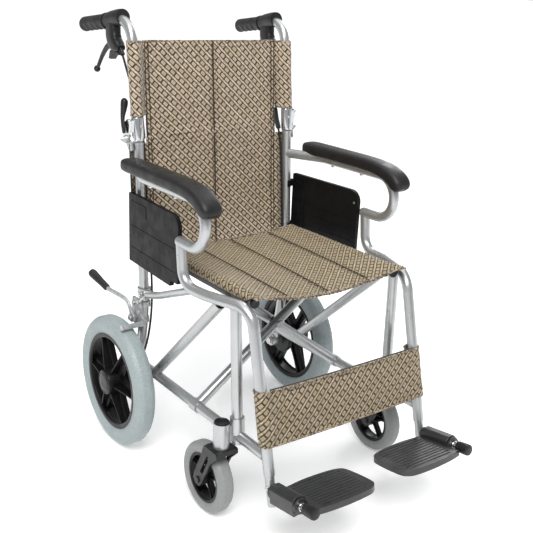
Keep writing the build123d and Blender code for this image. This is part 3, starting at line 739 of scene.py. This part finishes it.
def parking_fittings(side):
    """Bolts and the return spring of the parking brake."""
    bolts = [bolt_head((-216.4, -34, 323), 6.2, 6), bolt_head((-230, -16, 306), 6.6, 4.2),
             bolt_head((-216.4, -8, 338), 5.2, 5), bolt_head((-216.4, -30, 345), 4.6, 4)]
    piece(side, "parking_bolts", joined(*bolts), ZINC, "frame", "fastener", bevel=(0.7, 2))
    winds, steps, radius, wire = 9, 12, 2.6, 0.55
    coil = [(-219, -36, 344)]
    for i in range(winds * steps + 1):
        t = i / (winds * steps)
        turn = 2 * math.pi * winds * t
        swing = radius * math.sin(turn) * 0.7
        coil.append((-221 + radius * math.cos(turn), -44 - 10 * t + swing, 352 + 12 * t + swing))
    coil.append((-219, -62, 371))
    spring = swept([(*p, wire, wire) for p in coil], sides=8)
    piece(side, "parking_spring", spring, ZINC, "frame", "fastener")


# ---- hardware ----
RAIL_X, RAIL_Z = 181, 467       # the seat rails


def dome(centre, radius, height, way=1, axis="Z", steps=32):
    """A round head with a domed top, standing along the axis."""
    profile = [(0, 0.02), (0, radius), (way * height * 0.35, radius)]
    profile += [(way * height * (0.35 + 0.65 * math.sin(t)), max(0.02, radius * math.cos(t)))
                for t in np.linspace(0.25, math.pi / 2, 6)]
    return revolved(centre, profile, steps, axis)


def hardware(side):
    """Screws, the caster's cap, the cradles that hold the seat rail and the knob of the back's hinge."""
    steel = [dome((-243, y, 637.2), 5, 4.2, -1) for y in (-135, -235)]
    steel += [revolved((-222, -43, 369), [(-2.5, 0.02), (-2.5, 5.4), (-1.5, 6.4), (4, 6.4), (4, 0.02)], 28),
              revolved((-184, 0, 152.5), [(-1, 6.1), (-1, 12), (1.4, 12), (1.4, 6.1)], 36)]
    piece(side, "screws", joined(*steel), ZINC, "frame", "fastener", "hardware", sharp=35)
    cap = [(219, 0.02), (219.4, 8), (220.4, 12.4), (222.4, 13.6), (222.4, 14.6), (219.6, 16.2), (216, 16.4),
           (216, 0.02)]
    piece(side, "caster_cap", revolved((-231.5, -398, 0), cap, 56, "Z"), BLACK, "frame", "black_plastic",
          sharp=40)
    cradle = [(-195, 466), *arc(-RAIL_X, RAIL_Z, 10.6, math.pi, 2 * math.pi, 14), (-168, 466), (-168, 456),
              (-173, 452.5), (-192, 452.5)]
    cradles = [prism(cradle, y - 9, y + 9, end_on) for y in (-394, -350)]
    piece(side, "rail_cradles", joined(*cradles), BLACK, "frame", "black_plastic", bevel=(0.8, 2))
    wings = ((-219.6, 7.4, 1.0), (-222.5, 8.6, 1.0), (-226, 8.8, 0.95), (-230, 6.6, 0.8), (-234, 4.0, 0.7),
             (-237, 2.4, 0.7), (-238.4, 0.8, 0.7))
    knob = skin([[Vector((x, 8 + r * flat * math.cos(t), 708.5 + r * math.sin(t))) for t in turns(28)]
                 for x, r, flat in wings], wrap=True, caps=True)
    shank = revolved((-224, 10, 711), [(5, 0.02), (5, 4.4), (9.5, 4.4), (9.5, 0.02)], 28)
    piece(side, "hinge_knob", joined(knob, shank), BRACKET, "frame", "fastener", bevel=(0.7, 2, 50))


UPRIGHT = [(-3.5, 702), (-18, 490), (-25.2, 385), (-26.4, 345), (-22.6, 300), (-13.5, 240), (0, 152.5)]


def upright(side):
    """Back tube with its axle bushing and the small ear of the hinge."""
    tube = swept(run_at(TUBE_X, [(y, z, 11, 11) for y, z in UPRIGHT], 10), sides=40)
    bush = revolved((TUBE_X, 0, 152.5),
                    [(-16, 6.1), (-16, 14.2), (-15, 15), (15, 15), (16, 14.2), (16, 6.1)], 48)
    ear = prism(rounded([(-9, 684), (8, 684), (19, 700), (19, 716), (12, 720), (4, 716), (-5, 700)],
                        [4, 4, 5, 5, 3, 3, 4]), -214.8, -219.2, side_on)
    collar = revolved((TUBE_X, -3.6, 699), [(-2.2, 10.9), (-2.2, 11.8), (2.6, 11.8), (2.6, 10.9)], 40, "Z")
    piece(side, "upright_tube", joined(tube, bush, ear, collar), SILVER, "frame", "frame_steel",
          "rear_upright", sharp=40)


def sleeve(side):
    """Chromed sleeve on the foot of the cane, with rolled ends, the moving ear and a screw."""
    run = [(TUBE_X, cane_y(z), z, r, r) for z, r in (
        (703.8, 11.2), (703.9, 12.4), (705, 13.1), (707, 13.2), (730, 13.2), (752, 13.2), (754, 13.1),
        (755, 12.4), (755.1, 11.2))]
    ear = prism(rounded([(0, 706), (6, 702), (16, 702), (21, 712), (29, 722), (29, 736), (4, 752), (-8, 752)],
                        [2, 2, 4, 4, 6, 6, 4, 4]), -219.6, -224, side_on)
    web = prism(box(-6, 724, 8, 750), -220, -209, side_on)
    piece(side, "hinge_sleeve_rolled", joined(swept(run, sides=64), ear, web), CHROME, "back", "chrome",
          "hinge_sleeve", bevel=(0.8, 3, 40))
    screw = dome((TUBE_X + 3, cane_y(736) - 13.0, 736), 3.0, 1.6, -1, "Y")
    piece(side, "sleeve_screw", screw, ZINC, "back", "fastener", sharp=40)


def cable_guide(side):
    """Black plastic guide that holds the brake cable behind the sleeve."""
    run = smooth_run([(-181.6, 22.5, 754, 3.4, 3.4), (-181.8, 21, 750, 4.8, 5.6), (-182.6, 15.6, 729, 5, 5.8),
                      (-184, 8, 710, 4.8, 5.6), (-184.2, 7, 706, 3.4, 3.4)], 6)
    piece(side, "cable_guide", swept(run, sides=28, power=3.4), BLACK, "back", "black_plastic", sharp=50)


def rail_plug(side):
    """Black plug in the front end of a seat rail, which belongs to the cross brace."""
    profile = [(-424.4, 0.02), (-425, 6), (-425.2, 8.6), (-424, 10.1), (-419.2, 10.2), (-419.2, 0.02)]
    plug = shaped(f"{side}_rail_plug", revolved((-RAIL_X, 0, RAIL_Z), profile, 40, "Y"), BLACK,
                  side == "left")
    riding(crisp(plug), {"right": "brace_b", "left": "brace_a"}[side], "black_plastic")


# ---- footrest ----
TILT = math.radians(9)
FOOT_UP = Vector((0, math.sin(TILT), math.cos(TILT)))
FOOT_AHEAD = Vector((0, -math.cos(TILT), math.sin(TILT)))
FOOT_PIVOT = Vector((-203, -577, 138))


def on_foot(a, b, c):
    """Across from the pivot rod, ahead of its middle and up from the plate's top."""
    return FOOT_PIVOT + Vector((a, 0, 0)) + FOOT_AHEAD * b + FOOT_UP * c


def along_rod(a, b, c):
    """Corner of a prism whose outline is seen along the pivot rod."""
    return on_foot(a, c, b)


def footplate(side):
    """Ribbed plate with bowed edges, moulded with the block that clasps the pivot rod."""
    rear, front, inner = -47.6, 76, 167
    outline = smooth_run([
        (12, rear + 11), (36, rear + 8), (64, rear + 5), (96, rear + 5), (130, rear + 8),
        (inner - 16, rear + 13), (inner - 4, rear + 24), (inner, 14), (inner - 1, front - 24),
        (inner - 8, front - 11), (inner - 22, front - 3.5), (inner - 50, front - 0.5), (80, front),
        (40, front - 3), (12, front - 8)], 5)
    plate = shaped(f"{side}_footplate_ribbed", prism([tuple(p) for p in outline], -12.6, 0, on_foot), PLATE)
    last = 10
    for i in range(last + 1):
        b = rear + 16 + i * 9.4
        start, end = (30, 150) if 0 < i < last else (34, 140)
        channel = [(b - 2.1, 0.6), (b - 1.3, -1.5), (b + 1.3, -1.5), (b + 2.1, 0.6)]
        cut(plate, prism(channel, start, end, lambda a, c, x: on_foot(x, a, c)))
    if side == "left":
        mirrored(plate)
    bevelled(plate, 1.4, 3, 40)
    riding(plate, f"{side}_foot_flap", "black_plastic", f"{side}_footplate")
    section = rounded([(-15, -20), (15, -17), (16, 10), (8, 17), (-8, 17), (-15, 9)], [3, 3, 5, 6, 6, 5])
    block = prism(section, -35.4, 36.4, along_rod)
    collars = [prism(circle(15.2, 32, 0, -0.5), b, b + 6, along_rod) for b in (-41.5, 36.6)]
    piece(side, "footplate_block", joined(block, *collars), PLATE, "foot_flap", "black_plastic",
          bevel=(1.3, 3))


def foot_tube(side):
    """Inner tube with its closed foot, the pivot rod, the ribbed black knob and the pin."""
    top, foot = Vector((TUBE_X, -506, 205)), Vector((TUBE_X, -533.2, 96.2))
    down = (foot - top).normalized()
    run = round_run([(*(top + down * d), r) for d, r in (
        (0, 9.3), (60, 9.3), (108, 9.3), (111, 8.6), (112.4, 6))], 4)
    piece(side, "inner_tube", swept(run, sides=32), SILVER, "foot_slide", "frame_steel", "foot_tube",
          sharp=45)
    rod = [(*on_foot(0, b, 0), r, r) for b, r in (
        (-56, 5.9), (-20, 5.9), (30, 5.9), (43, 5.9), (43.1, 8.6), (45.5, 8.6), (45.6, 7.4), (53, 7.4),
        (53.1, 5.9), (60, 5.9))]
    piece(side, "pivot_rod", swept(rod, sides=28), CHROME, "foot_slide", "chrome", sharp=45)
    knob = []
    for b, r in ((53.4, 7), (54, 10), (56, 11.4), (79, 12), (82.6, 11.2), (83.8, 8.6)):
        ring = []
        for k, turn in enumerate(turns(72)):
            ribbed = r - (0.6 if k % 4 in (0, 1) and 55 < b < 81 else 0)
            ring.append(on_foot(ribbed * math.cos(turn), b, ribbed * math.sin(turn)))
        knob.append(ring)
    piece(side, "foot_knob", skin(knob, wrap=True, caps=True), BLACK, "foot_slide", "black_plastic", sharp=45)
    pin = dome((TUBE_X - 9.0, -524.6, 133), 4.2, 3.4, -1, "X")
    piece(side, "foot_pin", pin, ZINC, "foot_slide", "fastener", sharp=40)


# ---- cloth ----
PANEL_EDGE = 175.0
HINGE_Z = 711.0


def upright_y(z):
    return -28 + 24.5 * (z - 345) / 357


def cane_y(z):
    return -3.3 + 29.3 * (z - 703.6) / 253.4


def ripple(x, y, z, scale, seed):
    """Soft unevenness from -1 to 1, the same on every run."""
    return noise.noise(Vector((x / scale + seed, y / scale, z / scale)))


def coords(mesh):
    flat = np.empty(len(mesh.vertices) * 3)
    mesh.vertices.foreach_get("co", flat)
    return flat.reshape(-1, 3)


def slackened(obj, pinned, slack, cap, gravity=1.0, frames=18):
    """Lets the sheet settle by cloth simulation between its pinned points, none moving over cap mm."""
    start = coords(obj.data)
    obj.vertex_groups.new(name="pinned").add(pinned, 1.0, "REPLACE")
    cloth = obj.modifiers.new("cloth", "CLOTH")
    rules = cloth.settings
    rules.quality, rules.mass = 5, 0.2
    rules.tension_stiffness = rules.compression_stiffness = 30
    rules.shear_stiffness, rules.bending_stiffness = 12, 1.2
    rules.shrink_min = -slack
    rules.vertex_group_mass = "pinned"
    rules.effector_weights.gravity = gravity
    cloth.collision_settings.use_collision = False
    for frame_number in range(1, frames + 1):
        bpy.context.scene.frame_set(frame_number)
    settled(obj)
    bpy.context.scene.frame_set(1)
    move = coords(obj.data) - start
    size = np.linalg.norm(move, axis=1, keepdims=True) + 1e-9
    limit = cap / 1000
    moved = start + move / size * limit * np.tanh(size / limit)
    obj.data.vertices.foreach_set("co", moved.ravel())
    obj.data.update()
    return obj


def smoothed(mesh):
    for face in mesh.polygons:
        face.use_smooth = True


def sheet(name, rows, flat, material, thickness, seams, seed, settle=None):
    """A cloth through rows of points; flat gives each point's place on the uncut cloth in mm.
    Seams are lines (direction, place) of the flat cloth, drawn in with puckers beside them.
    Settle is (which points are pinned, slack, cap, gravity) for the cloth simulation."""
    uvs = [(u / 1000, v / 1000) for row in flat for u, v in row]
    obj = shaped(name, skin(rows), [material, LINING], uvs=uvs)
    if settle:
        is_pinned, *rules = settle
        count = len(rows[0])
        pinned = [i * count + j for i in range(len(rows)) for j in range(count) if is_pinned(i, j)]
        slackened(obj, pinned, *rules)
    modified(obj, "SUBSURF", levels=1, render_levels=1)
    settled(obj)
    mesh = obj.data
    place = np.zeros((len(mesh.vertices), 2))
    layer = mesh.uv_layers[0].data
    for loop in mesh.loops:
        place[loop.vertex_index] = layer[loop.index].uv
    place *= 1000
    lift = np.zeros(len(mesh.vertices))
    for direction, where in seams:
        far = np.abs(place[:, direction] - where)
        run = place[:, 1 - direction]
        lift -= 1.7 * np.exp(-((far / 2.4) ** 2))
        pucker = np.sin(run / 2.9 + 1.7 * np.sin(run / 23 + seed)) + 0.5 * np.sin(run / 1.7 + seed)
        lift += 0.34 * pucker * np.exp(-(((far - 5) / 6.5) ** 2))
    for i, (u, v) in enumerate(place):
        lift[i] += 1.5 * ripple(u, v, 0, 60, seed) + 0.7 * ripple(u, v, 5, 24, seed)
    for i, vertex in enumerate(mesh.vertices):
        vertex.co += vertex.normal * (lift[i] / 1000)
    modified(obj, "SOLIDIFY", thickness=thickness / 1000, offset=0, material_offset=1, material_offset_rim=0)
    settled(obj)
    smoothed(obj.data)
    return obj


def lengths(row):
    """Distance along a row of points from its first."""
    steps = [0.0] + [(Vector(b) - Vector(a)).length for a, b in zip(row, row[1:])]
    return list(np.cumsum(steps))


def stitches(name, path, hold, pitch=3.4, length=2.4, radius=0.42):
    """A row of thread stitches along a path of points."""
    places = lengths(path)
    parts = []
    points = np.array(path, float)
    for start in np.arange(pitch, places[-1] - pitch, pitch):
        a, b = (Vector([np.interp(start + d, places, points[:, k]) for k in range(3)]) for d in (0, length))
        way = (b - a).normalized()
        one = way.orthogonal().normalized() * radius
        two = way.cross(one)
        corners = [a, *((a + b) / 2 + turn for turn in (one, two, -one, -two)), b]
        faces = [(0, 1 + k, 1 + (k + 1) % 4) for k in range(4)]
        faces += [(5, 1 + (k + 1) % 4, 1 + k) for k in range(4)]
        parts.append((corners, faces))
    return hold(shaped(name, joined(*parts), THREAD))


def piping(name, path, radius, hold, material=None):
    """A corded edge along a path of points."""
    cord = swept([(*p, radius, radius) for p in path], (0.3, 0.5, 0.8), 10)
    return hold(shaped(name, cord, material or LINING))


def hems(name, rows, radius, hold):
    """Rolled hems along the top and the low edge of a cloth."""
    edges = {"top": rows[-1], "low": rows[0]}
    return [piping(f"{name}_{edge}_hem", row, radius, hold, HEM) for edge, row in edges.items()]


def lined(name, rows, thickness, hold):
    """A black lining through rows of points."""
    strip = shaped(name, skin(rows), LINING)
    modified(strip, "SOLIDIFY", thickness=thickness, offset=0)
    return hold(settled(strip))


def held_by(body):
    def hold(obj):
        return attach(obj, body)
    return hold


def held_by_fold(body):
    """The way a cloth rides the body, on a mesh of its own."""

    def hold(obj):
        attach(obj, body)
        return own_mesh(obj)
    return hold


def wrapped(side, name, hold, loops, edge, *cloth):
    """A cloth round a tube of one side, from loops of points (x outwards, y, z) that start at the edge of
    the cloth between the sides, and gives it with its rows and its width in metres."""
    sign = SIDES[side]
    rows = [[(-sign * x, y, z) for x, y, z in loop][::-sign] for loop in loops]
    across = lengths(rows[0])
    shift = -edge - across[-1] if sign > 0 else edge
    flat = [[(shift + u, row[0][2]) for u in across] for row in rows]
    return hold(sheet(f"{side}_{name}", rows, flat, *cloth)), rows, across[-1] / 1000


# ---- seat ----
SEAT_SEAM = 105


def seat_tuck(y):
    """How much the seat's front droops at y, from 0 to 1."""
    return max(0, (-300 - y) / 128)


def seat_sling(x, y):
    """Height of the sling between the rails, before its front droops."""
    middle = 473.8 - 12.8 * (-61 - y) / 366
    return middle + (481.8 - middle) * (abs(x) / 171) ** 1.7


def seat_top(x, y):
    return seat_sling(x, y) - 2.0 * seat_tuck(y) * (1 - (x / 193) ** 2)


def seat_row(y):
    """Points across the seat at y, from its edge turned down past the right rail to the left one.
    Ahead of the rails the edges lie flat."""
    flat = float(np.clip((-398 - y) / 14, 0, 1))
    edge = [(192.2, 470.5), (193.0, 474.5), (192.0, 478.6), (189, 481.6), (184.5, 483.2), (178, 483.2)]
    flattened = [(193.0, 482.3), (192.2, 482.8), (190.6, 483.1), (188, 483.3), (184.5, 483.4), (178, 483.2)]
    edge = [(a + (c - a) * flat, b + (d - b) * flat) for (a, b), (c, d) in zip(edge, flattened)]
    half = edge + [(x, seat_sling(x, y)) for x in np.linspace(171, 0, 31)]
    profile = [(-x, z) for x, z in half[:-1]] + half[::-1]
    tuck = seat_tuck(y)
    return [(x, y - 13 * tuck * (abs(x) / 178) ** 2, z - 2.0 * tuck * (1 - (x / 193) ** 2))
            for x, z in profile]


def seat_hold(obj):
    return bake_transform(obj)


def seat():
    """Sling seat over both rails, with its seams, hems, stitches and the lining under each rail."""
    ys = list(np.linspace(-428, -66, 62))
    rows = [seat_row(y) for y in ys]
    runs = [lengths(row) for row in rows]
    flat = [[(u - run[-1] / 2, -y) for u in run] for run, y in zip(runs, ys)]
    last = len(rows[0]) - 1
    seams = [(0, x) for x in (0, -SEAT_SEAM, SEAT_SEAM, -184, 184)]
    obj = sheet("seat_cloth", rows, flat, SEAT_CLOTH, 2.6, seams, 3.1,
                (lambda i, j: min(j, last - j) < 7, 0.006, 5))
    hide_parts("right_seat_half", "left_seat_half")
    seat_hold(obj)
    for name, x in {"middle": 0, "right": -SEAT_SEAM, "left": SEAT_SEAM}.items():
        line = [(x, y, seat_top(x, y) + 0.3) for y in ys[1:-1]]
        piping(f"seat_seam_{name}", line, 1.2, seat_hold, THREAD)
    for end, row, past in (("front", rows[0], -0.6), ("rear", rows[-1], 0.6)):
        hem = [(x, y + past, z - 0.4) for x, y, z in row]
        piping(f"seat_{end}_hem", hem, 1.8, seat_hold, HEM)
    line = [(x, y + 11, z + 1.4) for x, y, z in rows[0][6:-6]]
    stitches("seat_front_stitching", line, seat_hold)
    for side, sign in SIDES.items():
        edge = [(row[0] if sign > 0 else row[-1]) for row in rows]
        piping(f"{side}_seat_edge_hem", edge, 1.5, seat_hold, HEM)
        under = []
        for y in np.linspace(-412, -68, 60):
            low = -0.62 + 0.16 * ripple(y, 0, 0, 55, 4.2)
            under.append([(-sign * x, y, z) for x, z in arc(RAIL_X, RAIL_Z, 11.9, low, 2.0, 14)])
        lined(f"{side}_seat_lining", under, 0.0014, seat_hold)
        piping(f"{side}_seat_lining_edge", [row[0] for row in under], 1.5, seat_hold)
        x = SEAT_SEAM + 4
        line = [(-sign * x, y, seat_top(x, y) + 1.5) for y in ys[2:-2]]
        stitches(f"{side}_seat_stitching_0", line, seat_hold)


# ---- back ----
BACK_FOOT, BACK_TOP = 443, 911


def back_depth(z):
    """How far the back cloth lies behind the tubes' centreline at height z."""
    return float(np.interp(z, (455, 516, 736, 904), (9.6, 9.6, 10.6, 3.0)))


def panel_point(x, z):
    tube = upright_y(z) if z < HINGE_Z else cane_y(z)
    return (x, tube + back_depth(z) + 1.6 * (abs(x) / PANEL_EDGE) ** 2, z)


def back_panel(name, body, low, high, edge, seed):
    """Main part of the back cloth between its side seams, and its raised seams and stitches."""
    hold = held_by_fold(body)
    rows, flat = [], []
    for z in np.linspace(low, high, round((high - low) / 6) + 1):
        xs = np.linspace(-edge(z), edge(z), 61)
        rows.append([panel_point(x, z) for x in xs])
        flat.append([(x, z) for x in xs])
    last = len(rows) - 1
    places = {"middle": 0, "right": -163, "left": 163, "right_outer": -171, "left_outer": 171}
    obj = sheet(name, rows, flat, CLOTH, 2.4, [(0, x) for x in places.values()], seed,
                (lambda i, j: j in (0, 60) or i in (0, last), 0.005, 3.5, 0.3))
    hold(obj)
    trims = []

    def line(x, margin, count, ahead):
        points = [panel_point(x, z) for z in np.linspace(low + margin, high - margin, count)]
        return [(px, py - ahead, pz) for px, py, pz in points]
    for place, x in places.items():
        radius = 1.7 if x == 0 else 1.0
        trims.append(piping(f"{name}_seam_{place}", line(x, 2, 36, 0.6), radius, hold, THREAD))
    for place, x in (("right", -5.0), ("left", 5.0)):
        trims.append(stitches(f"{name}_stitching_{place}", line(x, 6, 30, 1.6), hold))
    return obj, trims


def back_strip(side):
    """Edge of the lower back cloth behind the upright, with its black lining."""
    hold = held_by(f"{side}_frame")
    loops = []
    for z in np.linspace(BACK_FOOT, 698, 43):
        y = upright_y(z)
        bend = [(182, 12.0), (190, 12.8), (198, 13.4), (205, 13.4), (211, 12.2), (215.4, 10.4), (218.2, 7.6)]
        loops.append([panel_point(PANEL_EDGE, z), *((x, y + behind, z) for x, behind in bend)])
    obj, rows, width = wrapped(side, "back_strip", hold, loops, PANEL_EDGE, CLOTH, 2.0, (), 5.5)
    edge = [row[0] if side == "right" else row[-1] for row in rows]
    trim = piping(f"{side}_back_lining_edge", edge, 1.9, hold)


def back_pocket(side):
    """Sleeve of the upper back cloth round the push cane."""
    hold = held_by(f"{side}_back")
    loops = []
    for z in np.linspace(758, 910, 27):
        start = panel_point(PANEL_EDGE, z)
        swell = 13.3 + 0.7 * math.sin(z / 9.0) * math.exp(-((z - 758) / 40) ** 2)
        loops.append([start, *((x, y, z) for x, y in arc(-TUBE_X, cane_y(z), -swell, 0.5, 5.7, 26)),
                      (PANEL_EDGE + 2, start[1] + 3.2, z)])
    obj, rows, width = wrapped(side, "back_pocket", hold, loops, PANEL_EDGE, CLOTH, 1.8, (), 8.5)
    hems(f"{side}_pocket", rows, 1.5, hold)


def back():
    lower, trims = back_panel("back_cloth_lower", "right_frame", BACK_FOOT, HINGE_Z,
                              lambda z: PANEL_EDGE, 1.3)
    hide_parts("back_lower")
    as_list(trims)
    hold = held_by_fold("right_back")

    def notched(z):
        return PANEL_EDGE - 3.5 * float(np.clip((764 - z) / 8, 0, 1))
    upper, trims = back_panel("back_cloth_upper", "right_back", HINGE_Z, BACK_TOP, notched, 1.9)
    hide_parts("back_upper")
    rim = [panel_point(x, BACK_TOP) for x in np.linspace(-PANEL_EDGE, PANEL_EDGE, 60)]
    trims.append(piping("back_top_hem", rim, 2.0, hold, HEM))
    trims.append(stitches("back_top_stitching", [(x, y - 1.8, z - 12) for x, y, z in rim], hold))
    for place, x in (("right", -172.4), ("left", 172.4)):
        edge = [panel_point(x, z) for z in np.linspace(HINGE_Z, 757, 12)]
        trims.append(piping(f"back_notch_edge_{place}", edge, 1.8, hold))
    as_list(trims)
    for side in SIDES:
        back_strip(side)
        back_pocket(side)


# ---- calf strap ----
STRAP_EDGE = 186.0
STRAP_HEIGHTS = np.linspace(213, 315, 18)
STRAP_SEAMS = [(1, 221), (1, 307)]


def strap_y(z):
    """The down tubes' centreline at height z."""
    return -441 - 77.5 * (465 - z) / 310


def strap_point(x, z):
    sag = 1 - (x / STRAP_EDGE) ** 2
    return (x, strap_y(z) - 13.2 + 1.5 * sag, z - 3.0 * sag)


def strap_end(side):
    """End of the strap, wrapped round a down tube."""
    hold = held_by(f"{side}_frame")
    loops = []
    for z in STRAP_HEIGHTS:
        y = strap_y(z)
        loop = [strap_point(STRAP_EDGE, z)[:2], *arc(-TUBE_X, y, -13.4, 1.35, 4.9, 20), (190, y + 11.5),
                (182, y + 7.5)]
        loops.append([(a, b, z) for a, b in loop])
    obj, rows, width = wrapped(side, "strap_end", hold, loops, STRAP_EDGE, STRAP_CLOTH, 2.2, STRAP_SEAMS, 9.1)
    hems(f"{side}_strap", rows, 1.6, hold)


def calf_strap():
    """Strap across the down tubes: its middle, and an end wrapped round each tube."""
    hold = held_by_fold("right_frame")
    rows = [[strap_point(x, z) for x in np.linspace(-STRAP_EDGE, STRAP_EDGE, 65)] for z in STRAP_HEIGHTS]
    flat = [[(p[0], z) for p in row] for row, z in zip(rows, STRAP_HEIGHTS)]
    obj = sheet("calf_strap_middle", rows, flat, STRAP_CLOTH, 2.6, STRAP_SEAMS, 7.7,
                (lambda i, j: j in (0, 64), 0.004, 3, 0.5))
    hold(obj)
    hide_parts("calf_strap")
    trims = hems("strap", rows, 1.9, hold)
    behind = [[(x, y + 4.5, z + 2.4) for x, y, z in row] for row in rows[3:]]
    trims.append(lined("strap_lining", behind, 0.0012, hold))
    for side in SIDES:
        strap_end(side)


# ---- brake cables ----
CABLE_ROUTE = [
    (-206, 59, 883), (-203, 48, 856), (-196, 38, 817), (-188, 31, 778), (-182.5, 19, 739), (-184, 4, 700),
    (-186, -5, 655), (-186.6, -10, 600), (-186, -17, 545), (-186.6, -21, 490), (-185.5, -29, 440),
    (-186, -36, 385), (-188, -39, 330), (-190, -33, 278), (-197, -31, 240), (-209, -36, 218),
    (-218, -38, 203.5),
]


def brake_cable(side):
    """Cable from the brake handle to the hub brake, which bends at the back's hinge."""
    curve = bpy.data.curves.new(f"{side}_cable_line", "CURVE")
    curve.dimensions = "3D"
    line = curve.splines.new("NURBS")
    line.points.add(len(CABLE_ROUTE) - 1)
    for point, (x, y, z) in zip(line.points, CABLE_ROUTE):
        point.co = (*at(SIDES[side] * x, y, z), 1)
    line.order_u = 3
    line.use_endpoint_u = True
    line.resolution_u = 8
    curve.bevel_depth = 0.0025
    curve.bevel_resolution = 4
    holder = bpy.data.objects.new(f"{side}_cable_line", curve)
    mesh = bpy.data.meshes.new_from_object(holder)
    bpy.data.objects.remove(holder)
    obj = linked(f"{side}_brake_cable_bent", mesh)
    mesh.materials.clear()
    mesh.materials.append(CABLE)
    smoothed(mesh)
    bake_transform(obj)
    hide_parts(f"{side}_brake_cable")


# ---- the pieces of both sides ----
for side in SIDES:
    for build in (rear_tyre, rear_rim, caster_tyre, caster_rim, arm_pad, skirt_guard, push_grip, handle_lever,
                  handle_body, release_lever, parking_lever, parking_fittings, hardware, upright, sleeve,
                  cable_guide, footplate, foot_tube, rail_plug, brake_cable):
        build(side)
seat()
back()
calf_strap()


# ---- camera, light and floor ----
def camera():
    data = bpy.data.cameras.new("camera")
    data.lens, data.sensor_width = 56.96, 36
    cam = linked("camera", data)
    around, down, roll = math.radians(-37.1222), math.radians(18.4897), math.radians(2.6329)
    back = Vector((math.sin(around) * math.cos(down), -math.cos(around) * math.cos(down), math.sin(down)))
    right = (-back).cross(Vector((0, 0, 1))).normalized()
    up = right.cross(-back)
    turned_right = right * math.cos(roll) + up * math.sin(roll)
    turned_up = up * math.cos(roll) - right * math.sin(roll)
    cam.matrix_world = Matrix.Translation(at(-1058.6, -1612.3, 1035.8)) @ Matrix(
        (turned_right, turned_up, back)).transposed().to_4x4()
    bpy.context.scene.camera = cam


def area_light(name, place, target, size, power):
    data = bpy.data.lights.new(name, "AREA")
    data.shape, data.size, data.size_y, data.energy = "RECTANGLE", size[0], size[1], power
    lamp = linked(name, data)
    lamp.location = place
    lamp.rotation_euler = (Vector(target) - Vector(place)).to_track_quat("-Z", "Y").to_euler()


def dark_card(name, place, target, size):
    """A card that shows only in reflections, for the dark streaks down bright tubes."""
    bpy.ops.mesh.primitive_plane_add(size=1, location=place)
    card = bpy.context.object
    card.name = name
    card.scale = (*size, 1)
    card.rotation_euler = (Vector(target) - Vector(place)).to_track_quat("Z", "Y").to_euler()
    card.visible_camera = card.visible_diffuse = card.visible_shadow = card.visible_transmission = False
    card.data.materials.append(Shader(name, (0.2, 0.2, 0.21), 0.8).material)


def studio():
    world = bpy.data.worlds.new("studio")
    bpy.context.scene.world = world
    world.use_nodes = True
    background = world.node_tree.nodes["Background"]
    background.inputs[0].default_value = (0.97, 0.98, 1.0, 1)
    background.inputs[1].default_value = 0.45
    sun = bpy.data.lights.new("sun", "SUN")
    sun.energy, sun.angle = 2.1, math.radians(28)
    lamp = linked("sun", sun)
    lamp.rotation_euler = Vector((0.35, 0.62, -1.0)).to_track_quat("-Z", "Y").to_euler()
    area_light("key", (-1.9, -1.5, 2.4), (0, 0, 0.4), (1.2, 1.2), 28)
    area_light("top", (0.2, 0.3, 3.0), (0, 0, 0.3), (2.4, 2.4), 22)
    area_light("rim", (1.8, 1.0, 1.6), (0, 0, 0.5), (0.6, 1.6), 14)
    bpy.ops.mesh.primitive_plane_add(size=400)
    floor = bpy.context.object
    floor.name = "floor"
    floor.data.materials.append(
        Shader("white_floor", (0.96, 0.96, 0.96), 0.6, Emission_Strength=0.22).material)
    dark_card("left_card", (-2.5, 0.1, 0.05), (0, 0, 0.5), (0.9, 2.6))
    dark_card("right_card", (0.6, -2.9, 0.05), (0, 0, 0.5), (0.9, 2.6))
    bpy.context.scene.view_settings.view_transform = "Standard"


camera()
studio()
